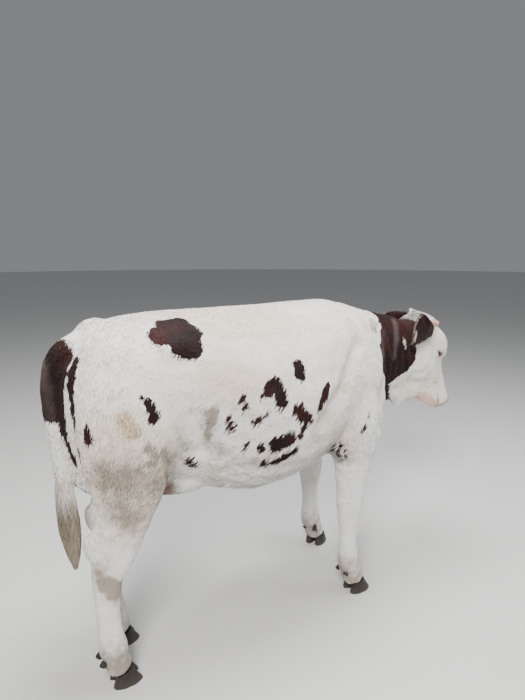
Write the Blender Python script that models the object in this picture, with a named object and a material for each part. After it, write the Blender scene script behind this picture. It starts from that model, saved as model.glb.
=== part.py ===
"""A Romanian spotted heifer, life size, standing with its head lowered.

Metres, +Z up. The heifer faces +X and its left side is at +Y. The flesh is
modelled whole from turned lofts and muscle masses, fused, and then parted into
torso, neck, head and legs with thin cuts. Hooves, horns, eyes, ears, tail and
udder are pieces of their own.
"""

import math
from collections import namedtuple

import bmesh
import bpy
import numpy as np
from mathutils import Matrix, Vector

# Driving sizes of the animal
TOPLINE = 1.255  # height of the back above the floor
BELLY = 0.54  # height of the lowest part of the belly
BARREL_HALF = 0.315  # half the width of the barrel
HEAD_LENGTH = 0.475  # from the poll to the tip of the muzzle
CANNON = 0.040  # half the depth of a fore cannon, coat included
GAP = 0.0003  # space kept between touching nodes

# Places that the pose fixes
POLL = Vector((1.556, -0.062, 1.150))
HEAD_YAW = math.radians(1.5)
HEAD_PITCH = math.radians(63.5)
HEAD_ROLL = math.radians(8)
RIGHT, LEFT = -1, 1

# How finely the fused flesh is made
VOXEL = 0.009
SMOOTHING = 10
RING = 28  # points round a loft
TRIANGLES = {"torso": 3000, "neck": 700, "head": 2900, "leg": 760}

# Where the flesh is parted: a place on each cut and the way it faces
HEAD_CUT, HEAD_CUT_FACE = Vector((0.020, 0, -0.100)), Vector((0.62, 0, 0.78))  # in the head's frame
NECK_CUT, NECK_CUT_FACE = Vector((1.175, 0, 0.95)), Vector((1, -0.10, 0.16))
# Boxes that hold the stretch of the flesh from which each node is taken
HEAD_BOX = ((1.15, -0.45, 0.55), (1.95, 0.35, 1.35))
NECK_BOX = ((1.05, -0.45, 0.40), (1.70, 0.35, 1.35))
TORSO_BOX = ((-0.40, -0.50, 0.45), (1.35, 0.50, 1.40))
LEG_BOX_BEHIND, LEG_BOX_AHEAD, LEG_BOX_HEIGHT = 0.40, 0.45, 0.95
LEG_BOX_SIDES = (-0.04, 0.45)

Section = namedtuple("Section", "x level half rise drop square keel")
Joint = namedtuple("Joint", "x y z deep wide")

TRUNK = [
    Section(-0.122, 0.97, 0.045, 0.055, 0.090, 2.0, 0.0),
    Section(-0.108, 0.97, 0.115, 0.130, 0.190, 2.1, 0.1),
    Section(-0.075, 0.98, 0.175, 0.190, 0.290, 2.1, 0.2),
    Section(-0.010, 1.01, 0.220, TOPLINE - 0.035 - 1.01, 0.370, 2.2, 0.3),
    Section(0.090, 1.03, 0.245, TOPLINE - 0.012 - 1.03, 0.410, 2.2, 0.3),
    Section(0.220, 1.03, 0.258, TOPLINE - 1.03, 0.405, 2.2, 0.3),
    Section(0.360, 0.98, 0.278, TOPLINE - 0.98, 0.385, 2.2, 0.2),
    Section(0.550, 0.88, BARREL_HALF, TOPLINE - 0.88, 0.88 - BELLY, 2.1, 0.1),
    Section(0.720, 0.87, BARREL_HALF, TOPLINE - 0.87, 0.86 - BELLY, 2.1, 0.1),
    Section(0.880, 0.88, 0.288, TOPLINE + 0.004 - 0.88, 0.300, 2.1, 0.2),
    Section(1.000, 0.89, 0.252, TOPLINE - 0.89, 0.295, 2.0, 0.3),
    Section(1.110, 0.90, 0.222, TOPLINE - 0.035 - 0.90, 0.300, 2.0, 0.3),
    Section(1.190, 0.90, 0.180, 0.255, 0.280, 2.0, 0.3),
    Section(1.240, 0.89, 0.120, 0.170, 0.200, 2.0, 0.2),
]
NECK = [
    Joint(0.980, 0.000, 1.010, 0.245, 0.175),
    Joint(1.100, -0.002, 1.000, 0.228, 0.150),
    Joint(1.210, -0.012, 0.995, 0.202, 0.126),
    Joint(1.320, -0.026, 0.990, 0.182, 0.108),
    Joint(1.420, -0.040, 0.990, 0.164, 0.098),
    Joint(1.480, -0.047, 1.010, 0.130, 0.090),
]
HIND_LEG = [
    Joint(0.045, 0.150, 1.020, 0.140, 0.080),
    Joint(0.052, 0.168, 0.900, 0.160, 0.092),
    Joint(0.052, 0.178, 0.800, 0.153, 0.092),
    Joint(0.048, 0.180, 0.720, 0.128, 0.086),
    Joint(0.040, 0.176, 0.650, 0.108, 0.074),
    Joint(0.026, 0.168, 0.585, 0.095, 0.060),
    Joint(0.010, 0.160, 0.525, 0.087, 0.053),
    Joint(-0.006, 0.154, 0.465, 0.078, 0.050),
    Joint(-0.024, 0.151, 0.405, 0.059, 0.045),
    Joint(-0.032, 0.150, 0.310, 0.045, 0.041),
    Joint(-0.026, 0.150, 0.200, 0.045, 0.042),
    Joint(-0.018, 0.150, 0.135, 0.052, 0.050),
    Joint(-0.008, 0.150, 0.090, 0.046, 0.047),
    Joint(0.000, 0.150, 0.055, 0.048, 0.050),
    Joint(0.004, 0.150, 0.030, 0.050, 0.052),
]
FORE_LEG = [
    Joint(1.030, 0.170, 0.900, 0.140, 0.070),
    Joint(1.005, 0.190, 0.780, 0.138, 0.082),
    Joint(0.995, 0.192, 0.690, 0.116, 0.080),
    Joint(0.998, 0.187, 0.610, 0.093, 0.071),
    Joint(0.995, 0.182, 0.530, 0.073, 0.062),
    Joint(0.992, 0.180, 0.460, 0.062, 0.057),
    Joint(0.992, 0.179, 0.405, 0.059, 0.057),
    Joint(0.990, 0.178, 0.345, 0.049, 0.048),
    Joint(0.990, 0.178, 0.270, CANNON, 0.040),
    Joint(0.992, 0.178, 0.195, 0.043, 0.042),
    Joint(1.000, 0.178, 0.135, 0.051, 0.050),
    Joint(1.014, 0.178, 0.090, 0.046, 0.047),
    Joint(1.026, 0.178, 0.055, 0.048, 0.050),
    Joint(1.032, 0.178, 0.030, 0.050, 0.052),
]
SKULL = [
    Section(-0.038, -0.070, 0.045, 0.040, 0.045, 2.0, 0.0),
    Section(-0.015, -0.065, 0.076, 0.065, 0.080, 2.2, 0.1),
    Section(0.040, -0.060, 0.092, 0.072, 0.125, 2.3, 0.3),
    Section(0.105, -0.058, 0.098, 0.072, 0.158, 2.4, 0.4),
    Section(0.165, -0.055, 0.099, 0.062, 0.170, 2.5, 0.5),
    Section(0.225, -0.055, 0.080, 0.050, 0.160, 2.6, 0.5),
    Section(HEAD_LENGTH - 0.190, -0.055, 0.063, 0.046, 0.140, 2.6, 0.4),
    Section(HEAD_LENGTH - 0.125, -0.056, 0.059, 0.044, 0.112, 2.5, 0.3),
    Section(HEAD_LENGTH - 0.070, -0.060, 0.064, 0.044, 0.085, 2.4, 0.3),
    Section(HEAD_LENGTH - 0.027, -0.070, 0.063, 0.047, 0.060, 2.2, 0.3),
    Section(HEAD_LENGTH, -0.078, 0.048, 0.038, 0.038, 2.0, 0.2),
]
TAIL = [
    Joint(0.050, 0.000, 1.170, 0.045, 0.060),
    Joint(-0.040, 0.000, 1.170, 0.040, 0.050),
    Joint(-0.105, 0.000, 1.140, 0.032, 0.038),
    Joint(-0.138, -0.001, 1.070, 0.027, 0.031),
    Joint(-0.142, -0.002, 0.980, 0.025, 0.028),
    Joint(-0.132, -0.003, 0.860, 0.023, 0.026),
    Joint(-0.120, -0.005, 0.730, 0.023, 0.026),
    Joint(-0.112, -0.008, 0.640, 0.020, 0.022),
]
SWITCH_TOP, SWITCH_TIP = Vector((-0.115, -0.008, 0.690)), Vector((-0.098, -0.028, 0.408))
SWITCH_CORE = 0.46  # how far down the switch its solid middle reaches, of its length
SWITCH_LOCKS = (5, 6, 5)  # locks in each ring, from the top
SWITCH_RISE = (0.02, 0.20, 0.38)  # where each ring is rooted
SWITCH_FLARE = (0.031, 0.030, 0.020)  # how far the locks of each ring stand off the middle
SWITCH_REACH = (0.64, 0.86, 1.00)  # where the locks of each ring end

# Half the width of a lock of hair along it, and its places, as shares
LOCK_SHAPE = ((0.0, 0.75), (0.22, 1.0), (0.5, 0.90), (0.78, 0.55), (1.0, 0.07))
POLL_LOCKS = 9  # locks of the poll's tuft that fall over the forehead
POLL_BACK_LOCKS = 4  # locks that trail back over the neck

# Where each foot stands: how far ahead of, and beside, the leg's own sizes, and its turn
Foot = namedtuple("Foot", "rows side ahead beside turn")
FEET = {
    "hind_right": Foot(HIND_LEG, RIGHT, 0.002, -0.028, 4),
    "hind_left": Foot(HIND_LEG, LEFT, 0.070, -0.078, 4),
    "fore_right": Foot(FORE_LEG, RIGHT, 0.000, 0.010, 4),
    "fore_left": Foot(FORE_LEG, LEFT, 0.112, 0.030, 26),
}
LEAN_FROM, LEAN_TO = 0.56, 1.00  # a leg leans to its foot between these heights
CLAW_AHEAD = 0.010  # the middle of a claw, ahead of the end of the leg
TOE_REACH = 0.058  # from the middle of a claw to its tip
HEEL_REACH = 0.047
CLAW_WIDE = 0.050
CLAW_GAP = 0.006
CLAW_TALL = 0.075
CORONET = 0.050  # height of the top of the hoof at its middle
CORONET_SLOPE = 0.32
# Height, size and backward shift of each ring of a claw
CLAW_RINGS = ((0.0, 1.0, 0.0), (0.010, 1.01, -0.004), (0.040, 0.93, -0.020), (CLAW_TALL, 0.84, -0.036))
# Place along a horn and its thickness there, as shares
HORN_RINGS = ((-0.25, 1.08), (0.0, 1.0), (0.35, 0.84), (0.7, 0.60), (0.92, 0.34), (1.0, 0.12))

EYE_PLACE = Vector((0.161, 0.0810, -0.053))
EYE_RADIUS = 0.0205
LID_THICK = 0.0036
LID_HALF = (0.0180, 0.0100)  # half the length and half the height of the opening
# How far behind the muzzle's tip, aside and above, and how thick, along a nostril
NOSTRIL = (
    (0.004, 0.021, -0.056, 0.0060),
    (0.005, 0.031, -0.047, 0.0100),
    (0.011, 0.043, -0.040, 0.0095),
    (0.021, 0.055, -0.037, 0.0065),
    (0.032, 0.063, -0.038, 0.0032),
)
MOUTH_BACK, MOUTH_LEVEL = 0.094, -0.108  # the corners, behind the muzzle's tip, and their level
MOUTH_CUT = 0.0016  # half the height of the line of the mouth
EYE_OUT = Vector((0.24, 1.0, 0.06)).normalized()
HORN_PLACE = Vector((0.016, 0.076, -0.018))
HORN_OUT = Vector((-0.05, 1.0, 0.28)).normalized()
HORN_LENGTH, HORN_RADIUS = 0.026, 0.0145
EAR_PLACE = Vector((-0.010, 0.076, -0.056))
# The right ear is laid back, and the left one hangs
EAR_OUT = {RIGHT: Vector((0.085, -0.34, -0.93)), LEFT: Vector((0.55, 0.50, -0.65))}
EAR_OPEN = {RIGHT: Vector((-0.20, -1.00, -0.20)), LEFT: Vector((0.10, 1.00, 0.10))}
EAR_LENGTH, EAR_HALF, EAR_THICK = 0.190, 0.055, 0.006
EAR_SUNK = 0.022  # how much of the ear is rooted in the head

TEAT = ((0.600, 0.012), (0.555, 0.009), (0.538, 0.005))  # height and half thickness

COAT_WHITE, COAT_BROWN = (0.86, 0.84, 0.81), (0.14, 0.045, 0.03)
HORN_PINK, CLAW_DARK, EYE_DARK = (0.62, 0.36, 0.27), (0.06, 0.045, 0.04), (0.02, 0.012, 0.01)
UDDER_PINK, SWITCH_STRAW = (0.78, 0.55, 0.48), (0.55, 0.45, 0.30)


def material(name, colour, roughness):
    """A plain finish for one kind of surface."""
    made = bpy.data.materials.new(name)
    made.use_nodes = True
    shader = made.node_tree.nodes["Principled BSDF"]
    shader.inputs["Base Color"].default_value = (*colour, 1)
    shader.inputs["Roughness"].default_value = roughness
    shader.inputs["Metallic"].default_value = 0
    return made


def new_object(name, bm):
    """Turns a bmesh into an object, with its faces pointing out."""
    bmesh.ops.recalc_face_normals(bm, faces=bm.faces)
    if bm.calc_volume(signed=True) < 0:
        bmesh.ops.reverse_faces(bm, faces=bm.faces)
    mesh = bpy.data.meshes.new(name)
    bm.to_mesh(mesh)
    bm.free()
    made = bpy.data.objects.new(name, mesh)
    bpy.context.scene.collection.objects.link(made)
    return made


def remove(*objects):
    for spent in objects:
        bpy.data.objects.remove(spent)


def apply_modifiers(target):
    """Bakes the modifiers into the mesh."""
    graph = bpy.context.evaluated_depsgraph_get()
    mesh = bpy.data.meshes.new_from_object(target.evaluated_get(graph))
    target.modifiers.clear()
    target.data = mesh
    return target


def copy_of(source, name):
    made = source.copy()
    made.data = source.data.copy()
    made.name = name
    bpy.context.scene.collection.objects.link(made)
    return made


def sound(target, points_before):
    """Whether a cut or join has worked: the mesh has changed and is closed all round."""
    bm = bmesh.new()
    bm.from_mesh(target.data)
    closed = len(bm.faces) > 0 and all(len(edge.link_faces) == 2 for edge in bm.edges)
    changed = len(bm.verts) != points_before
    right_way_out = bm.calc_volume(signed=True) > 0
    bm.free()
    return closed and changed and right_way_out


def boolean(target, operation, other):
    """Cuts, keeps or joins with one other object, which is used up."""
    before = target.data.copy()
    for solver in ("EXACT", "MANIFOLD"):
        target.data = before.copy()
        change = target.modifiers.new(operation.title(), "BOOLEAN")
        change.operation = operation
        change.object = other
        change.solver = solver
        apply_modifiers(target)
        if sound(target, len(before.vertices)):
            break
    remove(other)
    return target


def join_all(core, pieces):
    """Joins closed pieces to a core in one union, and uses them up."""
    group = bpy.data.collections.new("pieces")
    for piece in pieces:
        group.objects.link(piece)
    before = core.data.copy()
    for solver in ("EXACT", "MANIFOLD"):
        core.data = before.copy()
        join = core.modifiers.new("Join", "BOOLEAN")
        join.operation = "UNION"
        join.operand_type = "COLLECTION"
        join.collection = group
        join.solver = solver
        apply_modifiers(core)
        if sound(core, len(before.vertices)):
            break
    bpy.data.collections.remove(group)
    remove(*pieces)
    return keep_largest(core)


def keep_largest(target):
    """Drops every closed surface but the largest."""
    bm = bmesh.new()
    bm.from_mesh(target.data)
    bm.faces.ensure_lookup_table()
    left = set(bm.faces)
    shells = []
    while left:
        found = {left.pop()}
        edge_of = list(found)
        while edge_of:
            face = edge_of.pop()
            near = {other for edge in face.edges for other in edge.link_faces} - found
            found |= near
            edge_of += list(near)
        left -= found
        shells.append(found)
    shells.sort(key=lambda shell: sum(face.calc_area() for face in shell))
    spare = [face for shell in shells[:-1] for face in shell]
    bmesh.ops.delete(bm, geom=spare, context="FACES")
    bm.to_mesh(target.data)
    bm.free()
    return target


def smooth_rows(rows, step):
    """Rows of sizes read off a smooth curve through the given rows, about a step apart."""
    table = np.array(rows, float)
    gaps = np.linalg.norm(np.diff(table[:, :3], axis=0), axis=1)
    places = np.concatenate([[0], np.cumsum(gaps)])
    slopes = np.gradient(table, places, axis=0)
    found = []
    for k, gap in enumerate(gaps):
        count = max(1, round(gap / step))
        for t in np.arange(count) / count:
            a, b = 2 * t**3 - 3 * t**2 + 1, t**3 - 2 * t**2 + t
            c, d = 3 * t**2 - 2 * t**3, t**3 - t**2
            found.append(
                a * table[k] + b * gap * slopes[k] + c * table[k + 1] + d * gap * slopes[k + 1]
            )
    return np.array(found + [table[-1]])


def skin_rings(bm, rings):
    """Bridges rings of points and closes both ends."""
    made = [[bm.verts.new(point) for point in ring] for ring in rings]
    for one, two in zip(made, made[1:]):
        for k in range(len(one)):
            after = (k + 1) % len(one)
            bm.faces.new((one[k], one[after], two[after], two[k]))
    bm.faces.new(made[0][::-1])
    bm.faces.new(made[-1])


def section_loft(rows, step=0.03):
    """A loft along X whose upright sections are egg shaped."""
    bm = bmesh.new()
    rings = []
    for x, level, half, rise, drop, square, keel in smooth_rows(rows, step).tolist():
        ring = []
        for k in range(RING):
            turn = 2 * math.pi * k / RING
            side, up = math.cos(turn), math.sin(turn)
            side = math.copysign(abs(side) ** (2 / square), side)
            up = math.copysign(abs(up) ** (2 / square), up)
            narrow = 1 - keel * max(0.0, -up) ** 2
            ring.append((x, half * side * narrow, level + up * (rise if up > 0 else drop)))
        rings.append(ring)
    skin_rings(bm, rings)
    return new_object("loft", bm)


def lean(height):
    """How much of a foot's shift a leg has taken up at some height, from 0 to 1."""
    t = min(1.0, max(0.0, (LEAN_TO - height) / (LEAN_TO - LEAN_FROM)))
    return t * t * (3 - 2 * t)


def limb_loft(rows, foot=None, step=0.03, ring_points=RING):
    """A loft along a bent line, its sections square to the line."""
    table = smooth_rows(rows, step)
    if foot:
        shifts = np.array([lean(height) for height in table[:, 2]])
        table[:, 1] = foot.side * (table[:, 1] + shifts * foot.beside)
        table[:, 0] += shifts * foot.ahead
    bm = bmesh.new()
    rings = []
    middles = [Vector(row[:3]) for row in table]
    for k, (deep, wide) in enumerate(table[:, 3:].tolist()):
        along = (middles[min(k + 1, len(table) - 1)] - middles[max(k - 1, 0)]).normalized()
        across = Vector((0, 1, 0))
        across = (across - across.dot(along) * along).normalized()
        fore = along.cross(across)
        ring = []
        for j in range(ring_points):
            turn = 2 * math.pi * j / ring_points
            ring.append(middles[k] + wide * math.cos(turn) * across + deep * math.sin(turn) * fore)
        rings.append(ring)
    skin_rings(bm, rings)
    return new_object("limb", bm)


def on_leg(foot, x, y, z):
    """Where a place given for the plain leg lies on one of the four legs."""
    return Vector((x + foot.ahead * lean(z), foot.side * (y + foot.beside * lean(z)), z))


def mass(place, radii, tilt=0.0, turn=0.0, roll=0.0, fineness=2):
    """A rounded mass of muscle, fat or bone under the skin."""
    bm = bmesh.new()
    bmesh.ops.create_icosphere(bm, subdivisions=fineness + 1, radius=1)
    shape = Matrix.Diagonal((*radii, 1))
    angles = (math.radians(roll), math.radians(tilt), math.radians(turn))
    spin = Matrix.Rotation(angles[2], 4, "Z") @ Matrix.Rotation(angles[1], 4, "Y")
    spin = spin @ Matrix.Rotation(angles[0], 4, "X")
    bm.transform(Matrix.Translation(place) @ spin @ shape)
    return new_object("mass", bm)


def pair(place, radii, **turns):
    """The same mass on the right and on the left."""
    found = []
    for side in (RIGHT, LEFT):
        turned = dict(turns)
        for name in ("turn", "roll"):
            turned[name] = turned.get(name, 0.0) * side
        found.append(mass((place[0], place[1] * side, place[2]), radii, **turned))
    return found


def lock(root, tip, out, bend, wide, thick, sunk=0.010):
    """A flat lock of hair that tapers from its sunk root and bends out on its way to the tip."""
    bm = bmesh.new()
    rings = []
    along = (tip - root).normalized()
    across = along.cross(out).normalized()
    face = across.cross(along)
    for place, width in ((-sunk / (tip - root).length, 0.7), *LOCK_SHAPE):
        middle = root.lerp(tip, place) + face * bend * 4 * max(0.0, place) * (1 - place)
        if place < 0:
            middle -= face * sunk
        side, rise = across * wide * width, face * thick * width
        rings.append([middle + side, middle + rise, middle - side, middle - rise])
    skin_rings(bm, rings)
    return new_object("lock", bm)


def sphere(place, radius, around=20, along=12):
    """A ball, as an object."""
    bm = bmesh.new()
    bmesh.ops.create_uvsphere(bm, u_segments=around, v_segments=along, radius=radius)
    bm.transform(Matrix.Translation(place))
    return new_object("ball", bm)


def head_matrix():
    spin = Matrix.Rotation(HEAD_YAW, 4, "Z") @ Matrix.Rotation(HEAD_PITCH, 4, "Y")
    return Matrix.Translation(POLL) @ spin @ Matrix.Rotation(HEAD_ROLL, 4, "X")


def place_on_head(pieces):
    for piece in pieces:
        piece.data.transform(head_matrix())
    return pieces


def trunk_pieces():
    """The barrel, its muscles and the points of bone that show."""
    found = [section_loft(TRUNK)]
    found += pair((0.200, 0.150, 1.140), (0.110, 0.096, 0.066), turn=10)
    found += pair((-0.070, 0.080, 1.070), (0.050, 0.050, 0.060))
    found += pair((0.055, 0.160, 0.930), (0.165, 0.100, 0.230), tilt=8)
    found += pair((1.030, 0.160, 0.990), (0.105, 0.078, 0.240), tilt=-22, roll=8)
    found += pair((0.975, 0.190, 0.800), (0.150, 0.082, 0.130), tilt=15)
    found += pair((1.140, 0.130, 0.840), (0.080, 0.075, 0.110))
    found.append(mass((0.020, 0, 1.205), (0.070, 0.055, 0.046)))
    found.append(mass((1.120, 0, 0.690), (0.125, 0.110, 0.105), tilt=-20))
    found.append(mass((0.300, 0, 0.640), (0.170, 0.120, 0.055)))
    return found


def neck_pieces():
    """The neck and the loose skin that hangs under it."""
    found = [limb_loft(NECK)]
    found.append(mass((1.200, -0.010, 0.810), (0.140, 0.046, 0.130), tilt=-8, turn=-6))
    found.append(mass((1.300, -0.026, 0.830), (0.120, 0.040, 0.085), tilt=-20, turn=-8))
    found.append(mass((1.410, -0.046, 0.824), (0.062, 0.042, 0.100), tilt=-8, turn=-10))
    found.append(mass((1.490, -0.050, 0.808), (0.080, 0.036, 0.066), tilt=16, turn=-6))
    return found


def head_pieces():
    """The skull with cheeks, brows, muzzle, lips and chin, before its openings."""
    found = [section_loft(SKULL, step=0.015)]
    muzzle = HEAD_LENGTH - 0.032
    found += pair((0.156, 0.082, -0.030), (0.044, 0.025, 0.033), turn=-8)
    found += pair((0.175, 0.064, -0.135), (0.082, 0.034, 0.076), tilt=12)
    found += pair((0.280, 0.056, -0.086), (0.075, 0.020, 0.022), tilt=-6, turn=-8)
    found += pair((muzzle + 0.002, 0.042, -0.056), (0.030, 0.026, 0.030), turn=-20)
    found += pair((muzzle - 0.040, 0.038, -0.100), (0.055, 0.034, 0.026))
    found += pair((0.125, 0.066, -0.010), (0.078, 0.048, 0.032), turn=-8)
    found.append(mass((0.110, 0, -0.012), (0.080, 0.070, 0.034)))
    found.append(mass((0.000, 0, -0.016), (0.036, 0.080, 0.036)))
    found.append(mass((muzzle, 0, -0.066), (0.036, 0.058, 0.046)))
    found.append(mass((muzzle - 0.050, 0, -0.134), (0.050, 0.043, 0.030), tilt=-8))
    found.append(mass((muzzle - 0.155, 0, -0.165), (0.130, 0.044, 0.040), tilt=-10))
    return place_on_head(found)


def lid_pieces(side):
    """The ball of the lids over one eye, and the folds above and below their opening."""
    found = [sphere((0, 0, 0), EYE_RADIUS + LID_THICK, 18, 12)]
    for rise, thick in ((1, 0.0036), (-1, 0.0028)):
        rows = []
        for k in range(9):
            turn = math.pi * (k / 8 - 0.5)
            place = Vector((LID_HALF[0] * 1.2 * math.sin(turn), 0, 0))
            place.y = rise * LID_HALF[1] * 1.25 * math.cos(turn)
            place.z = math.sqrt((EYE_RADIUS + LID_THICK) ** 2 - place.x**2 - place.y**2)
            swell = 0.45 + 0.55 * math.cos(turn)
            rows.append((place, thick * swell))
        found.append(cord_loft(rows))
    for piece in found:
        piece.data.transform(eye_frame(side))
    return found


def cord_loft(rows, ring_points=6):
    """A round cord through places of given thickness, for folds of skin."""
    bm = bmesh.new()
    rings = []
    for k, (place, thick) in enumerate(rows):
        before, after = rows[max(k - 1, 0)][0], rows[min(k + 1, len(rows) - 1)][0]
        along = (after - before).normalized()
        across = along.cross(Vector((0, 0, 1))).normalized()
        rise = across.cross(along)
        ring = []
        for j in range(ring_points):
            turn = 2 * math.pi * j / ring_points
            ring.append(place + thick * (math.cos(turn) * across + math.sin(turn) * rise))
        rings.append(ring)
    skin_rings(bm, rings)
    return new_object("fold", bm)


def poll_tuft():
    """The tuft of white hair on the poll: locks over the forehead, and a few that trail back."""
    found = []
    for k in range(POLL_LOCKS):
        share = 2 * k / (POLL_LOCKS - 1) - 1
        turn = 0.5 * math.sin(2.7 * k)
        root = Vector((-0.014 + 0.010 * math.cos(2.1 * k), 0.056 * share, 0.014 - 0.014 * share**2))
        tip = root + Vector((0.066 + 0.012 * turn, 0.020 * share + 0.006 * turn, -0.002))
        found.append(lock(root, tip, Vector((0, 0, 1)), 0.012 + 0.004 * turn, 0.013, 0.0045))
    for k in range(POLL_BACK_LOCKS):
        root = Vector((-0.026, 0.016 + 0.018 * k, 0.006 - 0.004 * k))
        tip = root + Vector((-0.018, 0.034, -0.050))
        found.append(lock(root, tip, Vector((-0.9, 0, 0.4)), 0.008, 0.012, 0.0045))
    return place_on_head(found)


def leg_pieces():
    """All four legs, with the point of hock, the knee and the swelling at the fetlock."""
    found = []
    for foot in FEET.values():
        found.append(limb_loft(foot.rows, foot))
        ankle = foot.rows[-4]
        found.append(mass(on_leg(foot, ankle.x - 0.030, ankle.y, ankle.z), (0.026, 0.036, 0.028)))
        if foot.rows is HIND_LEG:
            found.append(mass(on_leg(foot, -0.070, 0.156, 0.522), (0.036, 0.028, 0.060), tilt=-12))
            found.append(mass(on_leg(foot, 0.020, 0.160, 0.470), (0.044, 0.046, 0.060), tilt=12))
        else:
            found.append(mass(on_leg(foot, 1.004, 0.179, 0.400), (0.048, 0.054, 0.052)))
            found.append(mass(on_leg(foot, 0.950, 0.180, 0.425), (0.026, 0.030, 0.034)))
            found.append(mass(on_leg(foot, 0.895, 0.190, 0.720), (0.045, 0.040, 0.060), tilt=-25))
    return found


def fuse(pieces):
    """Fuses overlapping pieces into one smooth skin."""
    whole = pieces[0]
    bm = bmesh.new()
    for piece in pieces:
        bm.from_mesh(piece.data)
    bm.to_mesh(whole.data)
    bm.free()
    remove(*pieces[1:])
    skin = whole.modifiers.new("Skin", "REMESH")
    skin.mode = "VOXEL"
    skin.voxel_size = VOXEL
    soften = whole.modifiers.new("Soften", "SMOOTH")
    soften.factor = 0.5
    soften.iterations = SMOOTHING
    return apply_modifiers(whole)


def block(low, high):
    """A box between two corners."""
    bm = bmesh.new()
    bmesh.ops.create_cube(bm, size=1)
    sizes = [b - a for a, b in zip(low, high)]
    middle = [(a + b) / 2 for a, b in zip(low, high)]
    bm.transform(Matrix.Translation(middle) @ Matrix.Diagonal((*sizes, 1)))
    return new_object("block", bm)


def slab_beyond(place, out, size=1.2):
    """A large box whose one face passes through place, facing against out."""
    bm = bmesh.new()
    bmesh.ops.create_cube(bm, size=size)
    bm.transform(Matrix.Translation((0, 0, size / 2)))
    turn = Vector(out).to_track_quat("Z", "Y").to_matrix().to_4x4()
    bm.transform(Matrix.Translation(place) @ turn)
    return new_object("slab", bm)


def thinned(whole, name, box, triangles):
    """The stretch of the whole skin inside a box, with only so many triangles."""
    piece = copy_of(whole, name)
    boolean(piece, "INTERSECT", block(*box))
    keep_largest(piece)
    fewer = piece.modifiers.new("Fewer", "DECIMATE")
    now = sum(len(face.vertices) - 2 for face in piece.data.polygons)
    fewer.ratio = min(1.0, triangles / now)
    fewer.use_collapse_triangulate = True
    return apply_modifiers(piece)


def hind_cut(foot, grow=0.0):
    """The wedge that parts a hind leg from the torso, at the top of the gaskin."""
    corners = [(-0.30, 0.0, 0.70), (-0.30, 0.42, 0.84), (0.235, 0.0, 0.58), (0.235, 0.42, 0.72)]
    return wedge(corners, foot, grow)


def fore_cut(foot, grow=0.0):
    """The wedge that parts a foreleg from the torso, just below the elbow."""
    corners = [(0.76, 0.02, 0.56), (0.76, 0.42, 0.72), (1.20, 0.02, 0.56), (1.20, 0.42, 0.72)]
    return wedge(corners, foot, grow)


def wedge(corners, foot, grow):
    """A block from under the floor up to a sloping top, given by its four top corners."""
    bm = bmesh.new()
    middle = sum(corner[0] for corner in corners) / 4
    tops = []
    for x, y, z in corners:
        x += math.copysign(grow, x - middle) + foot.ahead * 0.6
        y += math.copysign(grow, y - 0.2)
        tops.append(Vector((x, foot.side * y, z + grow * 1.3)))
    floor = [Vector((top.x, top.y, -0.2)) for top in tops]
    made = [bm.verts.new(point) for point in tops + floor]
    bmesh.ops.convex_hull(bm, input=made)
    return new_object("wedge", bm)


def foot_matrix(foot):
    """The frame of a foot: its X points to the toes and its origin is on the floor."""
    last = foot.rows[-1]
    place = on_leg(foot, last.x, last.y, 0)
    turn = Matrix.Rotation(math.radians(foot.turn * foot.side), 4, "Z")
    return Matrix.Translation(place) @ turn


def coronet_slab(foot, side_of_cut):
    """Everything above (1) or below (-1) the sloping top of the hoof."""
    up = Vector((-CORONET_SLOPE, 0, 1)).normalized() * side_of_cut
    made = slab_beyond(Vector((0, 0, CORONET)) - up * GAP / 2, up, size=0.3)
    made.data.transform(foot_matrix(foot))
    return made


def claw(foot, which):
    """One claw: flat below, D shaped, its toe forward, its top cut to the coronet."""
    bm = bmesh.new()
    rings = []
    for height, grow, shift in CLAW_RINGS:
        ring = []
        for k in range(16):
            turn = 2 * math.pi * k / 16
            fore, wide = math.cos(turn), math.sin(turn)
            reach = TOE_REACH if fore > 0 else HEEL_REACH - height * 0.30
            across = CLAW_WIDE / 2 * (wide if wide > 0 else wide * 0.80)
            across *= 1 - 0.34 * max(0.0, fore) ** 3
            y = which * (CLAW_WIDE * 0.40 + CLAW_GAP / 2 + across * grow)
            x = CLAW_AHEAD + reach * fore * grow + shift * (0.5 + 0.5 * fore)
            ring.append(Vector((x, y, height)))
        rings.append(ring)
    skin_rings(bm, rings)
    bm.transform(foot_matrix(foot))
    return boolean(new_object("claw", bm), "DIFFERENCE", coronet_slab(foot, 1))


def dewclaw(foot, which):
    """One of the two small claws behind the fetlock, a blunt cone set on the skin."""
    bm = bmesh.new()
    bmesh.ops.create_cone(bm, cap_ends=True, segments=8, radius1=0.013, radius2=0.008, depth=0.030)
    turn = Vector((-0.50, which * 0.15, -1)).to_track_quat("-Z", "Y").to_matrix().to_4x4()
    bm.transform(Matrix.Translation((-0.062, which * 0.024, 0.112)) @ turn)
    bm.transform(foot_matrix(foot))
    return new_object("dewclaw", bm)


def grown(source, distance):
    """A copy of a piece, swollen by a small distance, for cutting its neighbours."""
    made = copy_of(source, "grown")
    swell = made.modifiers.new("Swell", "DISPLACE")
    swell.strength = distance
    swell.mid_level = 0.0
    return apply_modifiers(made)


def cut_clear(target, *neighbours, gap=GAP):
    """Cuts a piece back so that it meets its neighbours face to face."""
    for neighbour in neighbours:
        boolean(target, "DIFFERENCE", grown(neighbour, gap))
    return keep_largest(target)


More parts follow.
